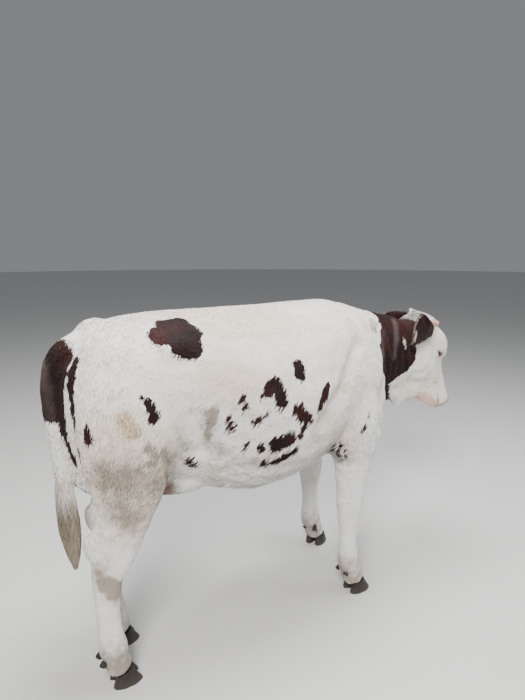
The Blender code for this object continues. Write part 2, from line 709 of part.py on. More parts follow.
def ear(side):
    """A cupped ear, wide at its root and rounded to its tip."""
    rows, columns = 11, 9
    bm = bmesh.new()
    grid = []
    for i in range(rows):
        along = i / (rows - 1)
        half = EAR_HALF * (0.42 + 0.58 * math.sin(math.pi * min(1, along * 1.15) ** 0.8))
        half = max(half * (1 - along**4), 0.004)
        wrap = math.radians(150 - 88 * along)
        line = []
        for j in range(columns):
            across = 2 * j / (columns - 1) - 1
            bend = wrap / 2 * across
            radius = half * 2 / wrap
            y = radius * math.sin(bend)
            z = radius * (1 - math.cos(bend))
            line.append(bm.verts.new((EAR_LENGTH * along - EAR_SUNK, y, z)))
        grid.append(line)
    for one, two in zip(grid, grid[1:]):
        for k in range(columns - 1):
            bm.faces.new((one[k], one[k + 1], two[k + 1], two[k]))
    made = new_object("ear", bm)
    wall = made.modifiers.new("Wall", "SOLIDIFY")
    wall.thickness = EAR_THICK
    wall.offset = 0
    apply_modifiers(made)
    out = EAR_OUT[side].normalized()
    open_to = (EAR_OPEN[side] - EAR_OPEN[side].dot(out) * out).normalized()
    turn = Matrix((out, open_to.cross(out), open_to)).transposed().to_4x4()
    made.data.transform(head_matrix() @ Matrix.Translation(sided(EAR_PLACE, side)) @ turn)
    return made


def horn(side):
    """A short young horn, a blunt curved cone."""
    bm = bmesh.new()
    rings = []
    for along, thick in HORN_RINGS:
        place = Vector((0, 0, along * HORN_LENGTH))
        place += Vector((0.25, 0, 0)) * HORN_LENGTH * max(0, along) ** 2
        radius = HORN_RADIUS * thick
        ring = []
        for k in range(12):
            turn = 2 * math.pi * k / 12
            ring.append(place + Vector((radius * math.cos(turn), radius * math.sin(turn), 0)))
        rings.append(ring)
    skin_rings(bm, rings)
    made = new_object("horn", bm)
    turn = sided(HORN_OUT, side).to_track_quat("Z", "X").to_matrix().to_4x4()
    made.data.transform(head_matrix() @ Matrix.Translation(sided(HORN_PLACE, side)) @ turn)
    return made


def sided(vector, side):
    """The same vector for the right or the left of the head."""
    return Vector((vector.x, vector.y * side, vector.z))


def eye_place(side):
    return sided(EYE_PLACE, side)


def eye_frame(side):
    """Where an eye sits: its own Z looks out through the lids and its X runs to the muzzle."""
    out = sided(EYE_OUT, side)
    front = Vector((1, 0, 0.10))
    front = (front - front.dot(out) * out).normalized()
    turn = Matrix((front, out.cross(front), out)).transposed().to_4x4()
    return head_matrix() @ Matrix.Translation(eye_place(side)) @ turn


def eyeball(side, radius=EYE_RADIUS):
    made = sphere((0, 0, 0), radius, 16, 10)
    made.data.transform(eye_frame(side))
    return made


def lid_opening(side):
    """An almond prism that opens the lids over the eye."""
    bm = bmesh.new()
    rings = []
    for height, grow in ((0.004, 0.90), (0.045, 1.16)):
        ring = []
        for k in range(20):
            turn = 2 * math.pi * k / 20
            x, y = math.cos(turn), math.sin(turn)
            y *= 1 - 0.35 * abs(x) ** 2
            ring.append(Vector((LID_HALF[0] * x * grow, LID_HALF[1] * y * grow, height)))
        rings.append(ring)
    skin_rings(bm, rings)
    bm.transform(eye_frame(side))
    return new_object("opening", bm)


def nostril(side):
    """The comma-shaped hollow of one nostril, its tail up and back along the muzzle."""
    rows = []
    for back, aside, level, thick in NOSTRIL:
        rows.append((Vector((HEAD_LENGTH - back, aside * side, level)), thick))
    made = cord_loft(rows, ring_points=8)
    return place_on_head([made])[0]


def mouth_line():
    """A thin U-shaped plate that cuts the line of the mouth round the muzzle."""
    bm = bmesh.new()
    steps = 22
    layers = []
    for inner_reach, inner_half in ((0.090, 0.050), (0.146, 0.110)):
        for lift in (-MOUTH_CUT, MOUTH_CUT):
            line = []
            for k in range(steps + 1):
                turn = math.pi * (k / steps - 0.5)
                x = HEAD_LENGTH - MOUTH_BACK + inner_reach * math.cos(turn)
                y = inner_half * math.sin(turn)
                corner = 0.012 * (1 - math.cos(turn)) ** 2
                line.append(bm.verts.new((x, y, MOUTH_LEVEL + corner + lift)))
            layers.append(line)
    inner_low, inner_high, outer_low, outer_high = layers
    around = (inner_low, inner_high, outer_high, outer_low, inner_low)
    for one, two in zip(around, around[1:]):
        for k in range(steps):
            bm.faces.new((one[k], one[k + 1], two[k + 1], two[k]))
    for end in (0, steps):
        bm.faces.new((inner_low[end], inner_high[end], outer_high[end], outer_low[end]))
    bm.transform(head_matrix())
    return new_object("mouth", bm)


def switch():
    """The tuft at the end of the tail: rings of flat locks on a slender middle."""
    rows = []
    for along, thick in ((0.0, 0.023), (0.5, 0.026), (1.0, 0.008)):
        place = SWITCH_TOP.lerp(SWITCH_TIP, along * SWITCH_CORE)
        rows.append(Joint(*place, thick, thick))
    core = limb_loft(rows, ring_points=12)
    found = []
    for ring, count in enumerate(SWITCH_LOCKS):
        for k in range(count):
            turn = 2 * math.pi * (k + 0.5 * ring) / count
            out = Vector((math.cos(turn), math.sin(turn), 0))
            vary = 0.04 * math.sin(5.3 * k + 1.7 * ring)
            flare = SWITCH_FLARE[ring]
            root = SWITCH_TOP.lerp(SWITCH_TIP, SWITCH_RISE[ring] + vary) + out * 0.016
            tip = SWITCH_TOP.lerp(SWITCH_TIP, SWITCH_REACH[ring] + vary) + out * flare * 0.45
            found.append(lock(root, tip, out, flare - 0.012, 0.017, 0.0065))
    return join_all(core, found)


def udder():
    """A small udder with four teats, between the thighs."""
    made = mass((0.150, 0.010, 0.622), (0.105, 0.075, 0.060), fineness=1)
    for x in (0.110, 0.180):
        for y in (-0.026, 0.046):
            teat = [Joint(x, y, level, thick, thick) for level, thick in TEAT]
            boolean(made, "UNION", limb_loft(teat, ring_points=8))
    return made


def finish(target, name, finish_of, sharp=50):
    target.name = name
    target.data.name = name
    target.data.materials.clear()
    target.data.materials.append(finish_of)
    target.data.shade_smooth()
    target.data.set_sharp_from_angle(angle=math.radians(sharp))
    return target


def stand_at_origin(nodes):
    """Moves everything so that the middle of its bounding box's base is the origin."""
    points = np.array([v.co for node in nodes for v in node.data.vertices])
    low, high = points.min(0), points.max(0)
    shift = Matrix.Translation((-(low[0] + high[0]) / 2, -(low[1] + high[1]) / 2, -low[2]))
    for node in nodes:
        node.data.transform(shift)


def main():
    for old in list(bpy.data.objects):
        bpy.data.objects.remove(old)
    white = material("coat_white", COAT_WHITE, 0.75)
    brown = material("coat_brown", COAT_BROWN, 0.7)
    pink = material("horn_pink", HORN_PINK, 0.5)
    dark = material("claw_dark", CLAW_DARK, 0.55)
    wet = material("eye_dark", EYE_DARK, 0.08)
    skin = material("udder_pink", UDDER_PINK, 0.6)
    straw = material("switch_straw", SWITCH_STRAW, 0.8)

    whole = fuse(trunk_pieces() + neck_pieces() + head_pieces() + leg_pieces())
    to_world = head_matrix()
    head_back = to_world @ HEAD_CUT
    head_side = (to_world.to_3x3() @ HEAD_CUT_FACE).normalized()
    chest_side = NECK_CUT_FACE.normalized()

    head = thinned(whole, "head", HEAD_BOX, TRIANGLES["head"])
    boolean(head, "DIFFERENCE", slab_beyond(head_back + head_side * GAP / 2, -head_side))
    keep_largest(head)
    join_all(head, lid_pieces(RIGHT) + lid_pieces(LEFT) + poll_tuft())
    for side in (RIGHT, LEFT):
        boolean(head, "DIFFERENCE", lid_opening(side))
        boolean(head, "DIFFERENCE", eyeball(side, EYE_RADIUS + GAP))
        boolean(head, "DIFFERENCE", nostril(side))
    boolean(head, "DIFFERENCE", mouth_line())
    nodes = [finish(keep_largest(head), "head", white)]

    neck = thinned(whole, "neck", NECK_BOX, TRIANGLES["neck"])
    boolean(neck, "DIFFERENCE", slab_beyond(head_back - head_side * GAP / 2, head_side))
    boolean(neck, "DIFFERENCE", slab_beyond(NECK_CUT + chest_side * GAP / 2, -chest_side))
    nodes.append(finish(keep_largest(neck), "neck", brown))

    torso = thinned(whole, "torso", TORSO_BOX, TRIANGLES["torso"])
    boolean(torso, "DIFFERENCE", slab_beyond(NECK_CUT - chest_side * GAP / 2, chest_side))
    for foot in FEET.values():
        cut = hind_cut if foot.rows is HIND_LEG else fore_cut
        boolean(torso, "DIFFERENCE", cut(foot, GAP))
    nodes.append(finish(keep_largest(torso), "torso", white))

    for name, foot in FEET.items():
        near = foot.rows[-1].x
        edge = sorted(foot.side * reach for reach in LEG_BOX_SIDES)
        low = (near - LEG_BOX_BEHIND, edge[0], -0.1)
        high = (near + LEG_BOX_AHEAD, edge[1], LEG_BOX_HEIGHT)
        leg = thinned(whole, name, (low, high), TRIANGLES["leg"])
        cut = hind_cut if foot.rows is HIND_LEG else fore_cut
        boolean(leg, "INTERSECT", cut(foot))
        boolean(leg, "DIFFERENCE", coronet_slab(foot, -1))
        nodes.append(finish(keep_largest(leg), f"leg_{name}", white))
        for which, word in ((-1, "right"), (1, "left")):
            nodes.append(finish(claw(foot, which), f"claw_{name}_{word}", dark, sharp=40))
            small = cut_clear(dewclaw(foot, which), leg)
            nodes.append(finish(small, f"dewclaw_{name}_{word}", dark, sharp=40))
    remove(whole)

    for side, word in ((RIGHT, "right"), (LEFT, "left")):
        nodes.append(finish(eyeball(side), f"eye_{word}", wet))
        bud = cut_clear(horn(side), head)
        nodes.append(finish(bud, f"horn_{word}", pink))
        flap = cut_clear(ear(side), head, neck, bud)
        nodes.append(finish(flap, f"ear_{word}", brown))

    tail = cut_clear(limb_loft(TAIL, ring_points=14), torso)
    nodes.append(finish(tail, "tail", brown))
    tuft = cut_clear(switch(), tail)
    nodes.append(finish(tuft, "tail_switch", straw))
    bag = udder()
    for side in ("right", "left"):
        boolean(bag, "DIFFERENCE", hind_cut(FEET[f"hind_{side}"], GAP * 3))
    cut_clear(bag, torso)
    nodes.append(finish(bag, "udder", skin))

    stand_at_origin(nodes)


main()
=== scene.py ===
"""A Romanian spotted heifer, life size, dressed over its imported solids.

One skin replaces the flesh, and the coat lies over it as solid tufts that follow
the lie of the hair. Metres, +Z up: the muzzle is towards +X, the left side at +Y.
"""

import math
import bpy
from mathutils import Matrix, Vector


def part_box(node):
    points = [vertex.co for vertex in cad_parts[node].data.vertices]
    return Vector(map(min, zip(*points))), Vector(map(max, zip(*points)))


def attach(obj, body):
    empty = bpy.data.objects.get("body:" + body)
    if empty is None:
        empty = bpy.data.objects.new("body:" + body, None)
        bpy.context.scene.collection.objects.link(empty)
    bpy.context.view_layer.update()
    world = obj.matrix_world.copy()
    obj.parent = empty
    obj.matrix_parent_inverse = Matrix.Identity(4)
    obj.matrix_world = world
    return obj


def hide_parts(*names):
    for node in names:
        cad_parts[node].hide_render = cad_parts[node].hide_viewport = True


bl_info = {
    "name": "Spotted heifer",
    "version": (1, 0, 0),
    "blender": (4, 5, 0),
    "location": "View3D > Sidebar > Heifer",
    "description": "Dresses the packed solids of a spotted heifer with skin, coat, eyes, horns and hooves",
    "category": "Object",
}

import bmesh
import bpy
import numpy as np
from bpy.props import FloatProperty, FloatVectorProperty, IntProperty, PointerProperty
from mathutils import Matrix, Vector, noise
from mathutils.bvhtree import BVHTree

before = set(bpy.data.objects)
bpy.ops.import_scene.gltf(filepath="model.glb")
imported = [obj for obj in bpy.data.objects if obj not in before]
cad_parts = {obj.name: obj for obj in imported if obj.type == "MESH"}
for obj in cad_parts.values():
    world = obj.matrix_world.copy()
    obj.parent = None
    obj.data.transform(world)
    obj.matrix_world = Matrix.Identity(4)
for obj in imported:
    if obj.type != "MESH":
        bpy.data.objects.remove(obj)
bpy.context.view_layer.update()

RIGHT, LEFT = -1, 1
SIDES = {"right": RIGHT, "left": LEFT}
LEGS = ("fore_right", "fore_left", "hind_right", "hind_left")
LEG_NODES = tuple(f"leg_{leg}" for leg in LEGS)
FLESH = ("torso", "neck", "head", "tail", *LEG_NODES)

# The head's own frame: X from the poll to the muzzle, Y to the left, Z out of the forehead
HEAD_ROLL, HEAD_PITCH, HEAD_YAW = (math.radians(turn) for turn in (8, 63.5, 1.5))
HEAD_LENGTH = 0.475
EYE = Vector((0.161, 0.081, -0.053))
EYE_OUT = Vector((0.24, 1.0, 0.06)).normalized()
EYE_RADIUS = 0.0205
LID_HALF = (0.0180, 0.0104)
MOUTH_BACK, MOUTH_LEVEL = 0.105, -0.108
# How far behind the muzzle's tip, aside and above, and how thick, along a nostril
NOSTRIL = (
    (0.004, 0.021, -0.056, 0.0060),
    (0.005, 0.031, -0.047, 0.0100),
    (0.011, 0.043, -0.040, 0.0095),
    (0.021, 0.055, -0.037, 0.0065),
    (0.032, 0.063, -0.038, 0.0032),
)
HORN_PLACE, HORN_OUT = Vector((0.016, 0.076, -0.018)), Vector((-0.05, 1.0, 0.28)).normalized()
HORN_LENGTH, HORN_RADIUS = 0.026, 0.0140
EAR_PLACE = Vector((-0.010, 0.076, -0.056))
EAR_OUT = {RIGHT: Vector((0.085, -0.34, -0.93)), LEFT: Vector((0.55, 0.50, -0.65))}
EAR_OPEN = {RIGHT: Vector((-0.20, -1.00, -0.20)), LEFT: Vector((0.10, 1.00, 0.10))}
EAR_LENGTH, EAR_HALF, EAR_THICK, EAR_SUNK = 0.184, 0.051, 0.004, 0.022

# The camera of the photograph
CAMERA_PLACE = Vector((-1.3367, -1.7901, 1.484))
CAMERA_YAW, CAMERA_DOWN = math.radians(55.5), math.radians(10.82)
CAMERA_LENS, CAMERA_SENSOR = 28.857, 36.0


def strokes(*rows):
    """Strokes from rows in millimetres: one end, the other end and half the width."""
    found = []
    for row in rows:
        x, y, z, to_x, to_y, to_z, half = (value / 1000 for value in row)
        found.append(((x, y, z), (to_x, to_y, to_z), half))
    return tuple(found)


def mirrored(*rows):
    """The same strokes on the left and on the right."""
    return strokes(*rows, *((x, -y, z, to_x, -to_y, to_z, half) for x, y, z, to_x, to_y, to_z, half in rows))


# Brown patches
BROWN_RIGHT = strokes(
    (62, -248, 722, 66, -246, 716, 2.8), (86, -236, 712, 88, -234, 704, 3.8),
    (106, -238, 712, 114, -240, 706, 3.8), (96, -228, 690, 102, -228, 682, 4.8),
    (122, -246, 694, 126, -246, 688, 2.8), (112, -232, 668, 118, -232, 662, 3.8),
    (130, -248, 672, 132, -248, 668, 1.8), (126, -236, 644, 128, -236, 638, 1.8),
    (144, -246, 700, 148, -246, 694, 1.8), (-602, -182, 1205, -522, -180, 1205, 49),
    (-580, -125, 1228, -520, -125, 1230, 26), (-570, -222, 1168, -528, -226, 1160, 36),
    (-712, -250, 1030, -708, -250, 1022, 5), (-696, -250, 1014, -684, -252, 988, 12),
    (-668, -252, 964, -682, -252, 958, 13), (-876, -206, 950, -872, -206, 915, 11),
    (-875, -40, 1140, -885, -60, 1080, 30), (-866, -98, 1140, -884, -114, 1040, 11),
    (-884, -114, 1040, -890, -135, 945, 10), (-890, -45, 1060, -898, -58, 900, 20),
    (-898, -58, 900, -886, -92, 815, 11), (-884, -160, 880, -878, -150, 850, 8),
    (-540, -195, 780, -500, -180, 745, 8), (-420, -268, 924, -424, -268, 912, 7),
    (-414, -270, 904, -408, -270, 880, 9), (-384, -283, 972, -376, -284, 984, 5),
    (-376, -283, 946, -362, -285, 960, 6), (-336, -294, 890, -314, -302, 906, 9),
    (-296, -302, 916, -286, -302, 926, 3), (-276, -300, 1004, -246, -300, 1016, 26),
    (-240, -300, 1000, -232, -305, 956, 23), (-306, -300, 982, -286, -300, 990, 10),
    (-142, -284, 1070, -141, -288, 1032, 20), (-172, -316, 918, -132, -315, 896, 17),
    (-155, -316, 884, -112, -315, 872, 12), (-168, -314, 934, -156, -314, 926, 10),
    (-60, -312, 904, -24, -300, 974, 12), (-354, -266, 818, -354, -266, 798, 5),
    (-150, -310, 822, -136, -312, 848, 13), (-248, -296, 800, -196, -308, 818, 26),
    (-302, -282, 806, -296, -283, 784, 10), (-286, -270, 722, -262, -274, 726, 14),
    (-236, -280, 732, -160, -292, 764, 13), (186, -277, 760, 200, -277, 776, 6),
    (222, -272, 806, 226, -272, 816, 5),
)
BROWN_LEFT = strokes(
    (-580, 175, 1205, -500, 180, 1200, 40), (-520, 215, 1160, -470, 225, 1135, 26),
    (-600, 215, 1165, -590, 220, 1150, 18), (-745, 240, 1030, -720, 245, 1000, 22),
    (-762, 242, 985, -750, 245, 960, 14), (-820, 225, 880, -806, 230, 862, 12),
    (-876, 50, 1130, -888, 80, 1040, 22), (-886, 92, 1030, -892, 80, 950, 13),
    (-872, 120, 1080, -884, 130, 1020, 9), (-896, 60, 910, -888, 90, 860, 9),
    (-360, 290, 1020, -322, 296, 995, 18), (-318, 300, 968, -306, 302, 940, 12),
    (-410, 275, 935, -398, 278, 920, 8), (-240, 305, 880, -176, 312, 856, 24),
    (-212, 306, 910, -200, 306, 902, 14), (-256, 300, 846, -246, 300, 838, 10),
    (-290, 290, 786, -236, 302, 776, 15), (-176, 304, 784, -160, 304, 798, 10),
    (-88, 308, 985, -62, 304, 1026, 17), (-60, 312, 930, -52, 312, 905, 9),
    (12, 296, 902, 20, 294, 872, 11), (120, 265, 972, 128, 266, 948, 12),
    (140, 262, 925, 144, 262, 915, 6), (-420, 270, 860, -408, 272, 842, 8),
    (-520, 180, 760, -486, 180, 742, 8),
)
BROWN_NECK = strokes(
    (473, -118, 899, 515, -88, 842, 18), (515, -88, 842, 548, -55, 792, 16),
    (548, -55, 792, 572, -40, 758, 14), (470, 118, 899, 520, 80, 840, 16),
    (-905, -20, 1150, -925, -20, 985, 50),
)
WHITE_IN_NECK = strokes(
    (572, -127, 1072, 580, -128, 1030, 8), (596, -127, 1075, 602, -128, 1052, 6),
    (520, 110, 1090, 560, 118, 1050, 20),
)
# Painted sheen: lighter grey-brown stripes where light catches the brown hair, along the neck's folds, by the
# withers and on the top of the tail
PAINTED_SHEEN_STROKES = strokes(
    (-935, -5, 1110, -918, -8, 930, 16), (556, -80, 1145, 522, -127, 1045, 13),
    (522, -127, 1045, 508, -130, 990, 6), (452, -118, 1110, 425, -140, 990, 8),
    (540, 80, 1145, 505, 127, 1040, 12), (388, -104, 1150, 398, -106, 1130, 6),
    (405, -112, 1140, 412, -110, 1122, 5),
)
# Soiled, buff and bare places, and small grey flecks
DIRT = strokes(
    (-640, -260, 800, -620, -230, 640, 10), (-690, -220, 700, -700, -190, 560, -20),
    (40, -280, 800, 90, -262, 760, -25), (-800, -240, 800, -690, -250, 760, 70),
    (-790, -220, 700, -760, -200, 640, 50), (-840, -160, 440, -790, -160, 360, 30),
    (-800, -160, 120, -770, -160, 60, 70), (-780, 220, 800, -740, 220, 680, 50),
    (-740, 140, 440, -700, 130, 380, 25), (-740, 100, 120, -700, 100, 60, 70),
    (200, -190, 120, 250, -190, 50, 60), (300, 200, 120, 350, 200, 50, 60),
    (-540, -240, 830, -440, -250, 800, 30), (-380, -240, 740, -280, -260, 740, 20),
    (-660, -250, 830, -580, -220, 790, 25), (-487, -259, 920, -480, -259, 900, 22),
    (60, -250, 700, 110, -230, 640, 34), (-690, -50, 620, -560, 50, 620, 120),
)
BUFF = strokes(
    (-820, -230, 840, -700, -250, 700, 150), (-20, -300, 850, 90, -265, 775, 35),
    (-440, -120, 1220, -180, -140, 1220, 110), (-440, -270, 1060, -360, -280, 1020, 90),
    (-400, 150, 1210, -150, 170, 1200, 110),
)
# The six small strokes about the withers, over 1.1 m high, make grey flecks on the white
SMUDGES = strokes(
    (400, -82, 1158, 404, -110, 1115, 9), (416, -74, 1166, 426, -92, 1143, 5),
    (376, -103, 1143, 372, -122, 1118, 6.5), (-482, -262, 950, -478, -258, 905, 21),
    (-485, -240, 872, -478, -236, 845, 12), (-520, -258, 930, -516, -258, 922, 6),
    (-706, -256, 874, -664, -250, 838, 14), (-694, -256, 828, -668, -252, 812, 12),
    (-648, -242, 848, -618, -222, 800, 12), (-632, -215, 775, -611, -202, 744, 16),
    (-795, -248, 778, -793, -248, 774, 3), (-722, -252, 786, -718, -252, 784, 5),
    (-784, -240, 722, -778, -240, 718, 4), (-742, -240, 742, -730, -240, 736, 8),
    (-748, -215, 612, -744, -215, 606, 5), (-790, -205, 612, -786, -205, 606, 3),
    (-830, -166, 412, -790, -160, 365, 33), (-846, -155, 452, -840, -155, 428, 16),
    (396, -94, 1158, 400, -100, 1142, 6), (384, -110, 1138, 390, -116, 1120, 6),
    (416, -94, 1152, 424, -100, 1138, 5),
)
STRAW = strokes(
    (-775, -255, 975, -750, -256, 930, 26), (-735, -255, 940, -730, -255, 930, 12),
)
BARE_PINK = strokes(
    (730, -55, 765, 850, -80, 722, 30), (730, 0, 760, 850, 0, 718, 30), (730, 55, 765, 850, 70, 722, 30),
    (-620, -50, 620, -560, 40, 620, 90),
)


def np_points(vectors):
    return np.array([tuple(vector) for vector in vectors], float)


def smooth(values, low, high):
    """Runs from 0 at low to 1 at high with no corners."""
    t = np.clip((values - low) / (high - low), 0, 1)
    return t * t * (3 - 2 * t)


def band(values, rise, fall):
    """1 between two soft edges, each given by where it begins and ends."""
    return smooth(values, *rise) * (1 - smooth(values, *fall))


def unit(vectors):
    length = np.linalg.norm(vectors, axis=-1, keepdims=True)
    return vectors / np.maximum(length, 1e-9)


def middle(node):
    low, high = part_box(node)
    return (low + high) / 2


HEAD_SPIN = (
    Matrix.Rotation(HEAD_YAW, 3, "Z")
    @ Matrix.Rotation(HEAD_PITCH, 3, "Y")
    @ Matrix.Rotation(HEAD_ROLL, 3, "X")
)
POLL = middle("eye_right") - HEAD_SPIN @ Vector((EYE.x, -EYE.y, EYE.z))
HEAD_MATRIX = Matrix.Translation(POLL) @ HEAD_SPIN.to_4x4()


def sided(vector, side):
    return Vector((vector.x, vector.y * side, vector.z))


def to_head(points):
    return (points - np.array(POLL)) @ np.array(HEAD_SPIN)


def from_head(vectors):
    return np.asarray(vectors, float) @ np.array(HEAD_SPIN).T


def eye_matrix(side):
    """The frame of an eye: its Z looks out through the lids and its Y to the forehead."""
    out = sided(EYE_OUT, side)
    front = Vector((-side, 0, -0.10 * side))
    front = (front - front.dot(out) * out).normalized()
    turn = Matrix((front, out.cross(front), out)).transposed().to_4x4()
    return HEAD_MATRIX @ Matrix.Translation(sided(EYE, side)) @ turn


def from_matrix(points, matrix):
    """Points in the frame that a matrix gives."""
    inverse = np.array(matrix.inverted())
    return points @ inverse[:3, :3].T + inverse[:3, 3]


def along_stroke(points, start, end):
    """How far along a stroke each point lies, from 0 to 1, and how far away from it in metres."""
    start, way = np.array(start), np.array(end) - np.array(start)
    share = np.clip((points - start) @ way / max(way @ way, 1e-9), 0, 1)
    return share, np.linalg.norm(points - start - share[:, None] * way, axis=1)


def stroke_field(points, strokes):
    """How deep each point lies inside the nearest of some strokes, and below 0 outside, in metres."""
    best = np.full(len(points), -1.0)
    for start, end, half in strokes:
        best = np.maximum(best, half - along_stroke(points, start, end)[1])
    return best


def rough(points, size, seed=0.0):
    """Smooth noise from -1 to 1 at each point."""
    offset = Vector((seed, seed * 1.7, seed * 2.3))
    return np.array([noise.noise(Vector(point) / size + offset) for point in points.tolist()])


class Nodes:
    """A node tree that is built step by step: each call adds one node and joins it up."""

    def __init__(self, tree):
        self.tree = tree

    def add(self, kind, settings=None, **inputs):
        node = self.tree.nodes.new(kind)
        for name, value in (settings or {}).items():
            setattr(node, name, value)
        for name, value in inputs.items():
            self.put(node, name, value)
        return node

    def put(self, node, name, value):
        """Sets or links an input, found by its name or, after in_, by its number."""
        key = int(name[3:]) if name.startswith("in_") else name.replace("_", " ")
        socket = node.inputs[key]
        if isinstance(value, bpy.types.Node):
            value = value.outputs[0]
        if isinstance(value, bpy.types.NodeSocket):
            self.tree.links.new(value, socket)
        else:
            socket.default_value = value

    def math(self, operation, one, two=0.0, three=None):
        node = self.add("ShaderNodeMath", {"operation": operation}, in_0=one, in_1=two)
        if three is not None:
            self.put(node, "in_2", three)
        return node.outputs[0]

    def times(self, one, two):
        return self.math("MULTIPLY", one, two)

    def plus(self, one, two):
        return self.math("ADD", one, two)

    def minus(self, one, two):
        return self.math("SUBTRACT", one, two)

    def times_plus(self, one, two, three):
        return self.math("MULTIPLY_ADD", one, two, three)

    def vector(self, operation, one, **more):
        return self.add("ShaderNodeVectorMath", {"operation": operation}, in_0=one, **more)

    def split(self, vector):
        return self.add("ShaderNodeSeparateXYZ", None, in_0=vector).outputs

    def join(self, x, y, z=0.0):
        return self.add("ShaderNodeCombineXYZ", None, X=x, Y=y, Z=z).outputs[0]

    def bump(self, shader, height, strength, distance):
        """Gives a shader a relief of some height, in metres."""
        relief = self.add("ShaderNodeBump", None, Strength=strength, Distance=distance, Height=height)
        self.put(shader, "Normal", relief)

    def ramp(self, value, low, high, to_low=0.0, to_high=1.0):
        settings = {"interpolation_type": "SMOOTHSTEP"}
        node = self.add("ShaderNodeMapRange", settings, in_0=value, in_1=low, in_2=high)
        self.put(node, "in_3", to_low)
        self.put(node, "in_4", to_high)
        return node.outputs[0]

    def mix(self, share, one, two, blend="MIX"):
        node = self.add("ShaderNodeMix", {"data_type": "RGBA", "blend_type": blend})
        for key, value in ((0, share), (6, one), (7, two)):
            self.put(node, f"in_{key}", value)
        return node.outputs[2]

    def noise(self, where, scale, detail=2.0, roughness=0.5):
        node = self.add("ShaderNodeTexNoise", None, Vector=where, Scale=scale, Detail=detail)
        node.inputs["Roughness"].default_value = roughness
        return node.outputs["Fac"]

    def attribute(self, name, kind="Fac"):
        node = self.add("ShaderNodeAttribute", {"attribute_name": name})
        return node.outputs[kind]


def colour(value):
    return (*value, 1.0) if len(value) == 3 else tuple(value)


def new_group(name, inputs, outputs):
    """A shader group with named sockets, ready to be filled in."""
    group = bpy.data.node_groups.new(name, "ShaderNodeTree")
    for direction, sockets in (("INPUT", inputs), ("OUTPUT", outputs)):
        for label, kind, default in sockets:
            socket = group.interface.new_socket(label, in_out=direction, socket_type=f"NodeSocket{kind}")
            if default is not None:
                socket.default_value = default
    nodes = Nodes(group)
    return group, nodes, nodes.add("NodeGroupInput"), nodes.add("NodeGroupOutput")


COAT_COLOURS = ("White", "Cream", "Brown", "Deep Brown", "Dirt", "Straw", "Pink")
# The lighter grey-brown of the painted sheen on brown hair
PAINTED_SHEEN_BROWN = (0.150, 0.115, 0.110, 1)


def coat_group(settings):
    """Markings, dirt, painted sheen, painted shade at the tufts' roots and small changes of colour from tuft
    to tuft.
    """
    inputs = []
    for name in COAT_COLOURS:
        inputs.append((name, "Color", colour(getattr(settings, name.lower().replace(" ", "_")))))
    inputs.append(("Edge", "Float", 0.010))
    outputs = [("Color", "Color", None), ("Brownness", "Float", None)]
    group, nodes, given, out = new_group("Coat markings", inputs, outputs)
    paint = given.outputs
    root = nodes.attribute("root", "Vector")
    coarse = nodes.noise(root, 38.0, 3.0)
    fine = nodes.noise(root, 170.0, 2.0)
    broad = nodes.noise(root, 7.0, 2.0)
    own = nodes.attribute("own")
    ragged = nodes.times(nodes.minus(nodes.plus(coarse, nodes.times(fine, 0.7)), 0.85), paint["Edge"])
    field = nodes.times_plus(ragged, 2.6, nodes.plus(nodes.attribute("brown"), 0.004))
    brownness = nodes.ramp(field, -0.0012, 0.0012)
    brown = nodes.mix(nodes.ramp(broad, 0.30, 0.60), paint["Brown"], paint["Deep Brown"])
    # Painted sheen: the brown turns lighter grey-brown along the stripes of the pale field
    brown = nodes.mix(nodes.times(nodes.attribute("pale"), 0.5), brown, PAINTED_SHEEN_BROWN)
    white = nodes.mix(nodes.ramp(broad, 0.42, 0.70, 0.0, 0.55), paint["White"], paint["Cream"])
    white = nodes.mix(nodes.times(nodes.attribute("buff"), 0.8), white, paint["Cream"])
    tint = nodes.ramp(nodes.plus(nodes.attribute("pink"), nodes.minus(coarse, 0.5)), 0.2, 0.8)
    white = nodes.mix(nodes.times(tint, 0.8), white, paint["Pink"])
    patchy = nodes.plus(nodes.attribute("dirt"), nodes.minus(coarse, 0.55))
    patchy = nodes.plus(patchy, nodes.times(nodes.minus(broad, 0.5), 0.8))
    white = nodes.mix(nodes.times(nodes.ramp(patchy, 0.08, 1.00), 0.88), white, paint["Dirt"])
    strawy = nodes.times(nodes.ramp(own, 0.30, 0.50, 0.0, 0.85), nodes.attribute("straw"))
    white = nodes.mix(strawy, white, paint["Straw"])
    # Painted shade: each tuft darkens towards its root, where the hair over it shades it
    painted_root_shade = nodes.ramp(nodes.attribute("along"), 0.0, 0.7, 0.86, 1.0)
    level = nodes.times(nodes.times_plus(own, 0.16, 0.90), painted_root_shade)
    tone = nodes.add("ShaderNodeCombineColor", None, Red=level, Green=level, Blue=level)
    base = nodes.mix(1.0, nodes.mix(brownness, white, brown), tone.outputs[0], "MULTIPLY")
    nodes.put(out, "Color", base)
    nodes.put(out, "Brownness", brownness)
    return group


def grain_group():
    """The height of fine streaks that run along one axis of a vector."""
    inputs = [("Vector", "Vector", None), ("Scale", "Float", 220.0), ("Stretch", "Float", 0.12)]
    group, nodes, given, out = new_group("Streaks", inputs, [("Height", "Float", None)])
    spot = nodes.split(given.outputs["Vector"])
    where = nodes.join(spot["X"], spot["Y"], nodes.times(spot["Z"], given.outputs["Stretch"]))
    nodes.put(out, "Height", nodes.noise(where, given.outputs["Scale"], 3.0, 0.6))
    return group


def principled(name, **values):
    """A new material, its node builder and its Principled shader with some values set."""
    made = bpy.data.materials.new(name)
    made.use_nodes = True
    nodes = Nodes(made.node_tree)
    shader = made.node_tree.nodes["Principled BSDF"]
    for label, value in values.items():
        nodes.put(shader, label, value)
    return made, nodes, shader


def group_node(nodes, group, **inputs):
    node = nodes.add("ShaderNodeGroup", {"node_tree": group})
    for name, value in inputs.items():
        nodes.put(node, name, value)
    return node


def streaks_on(nodes, groups):
    """The streaks of the hair on a piece, from where it lies in the part."""
    return group_node(nodes, groups["streaks"], Vector=nodes.add("ShaderNodeTexCoord").outputs["Object"])


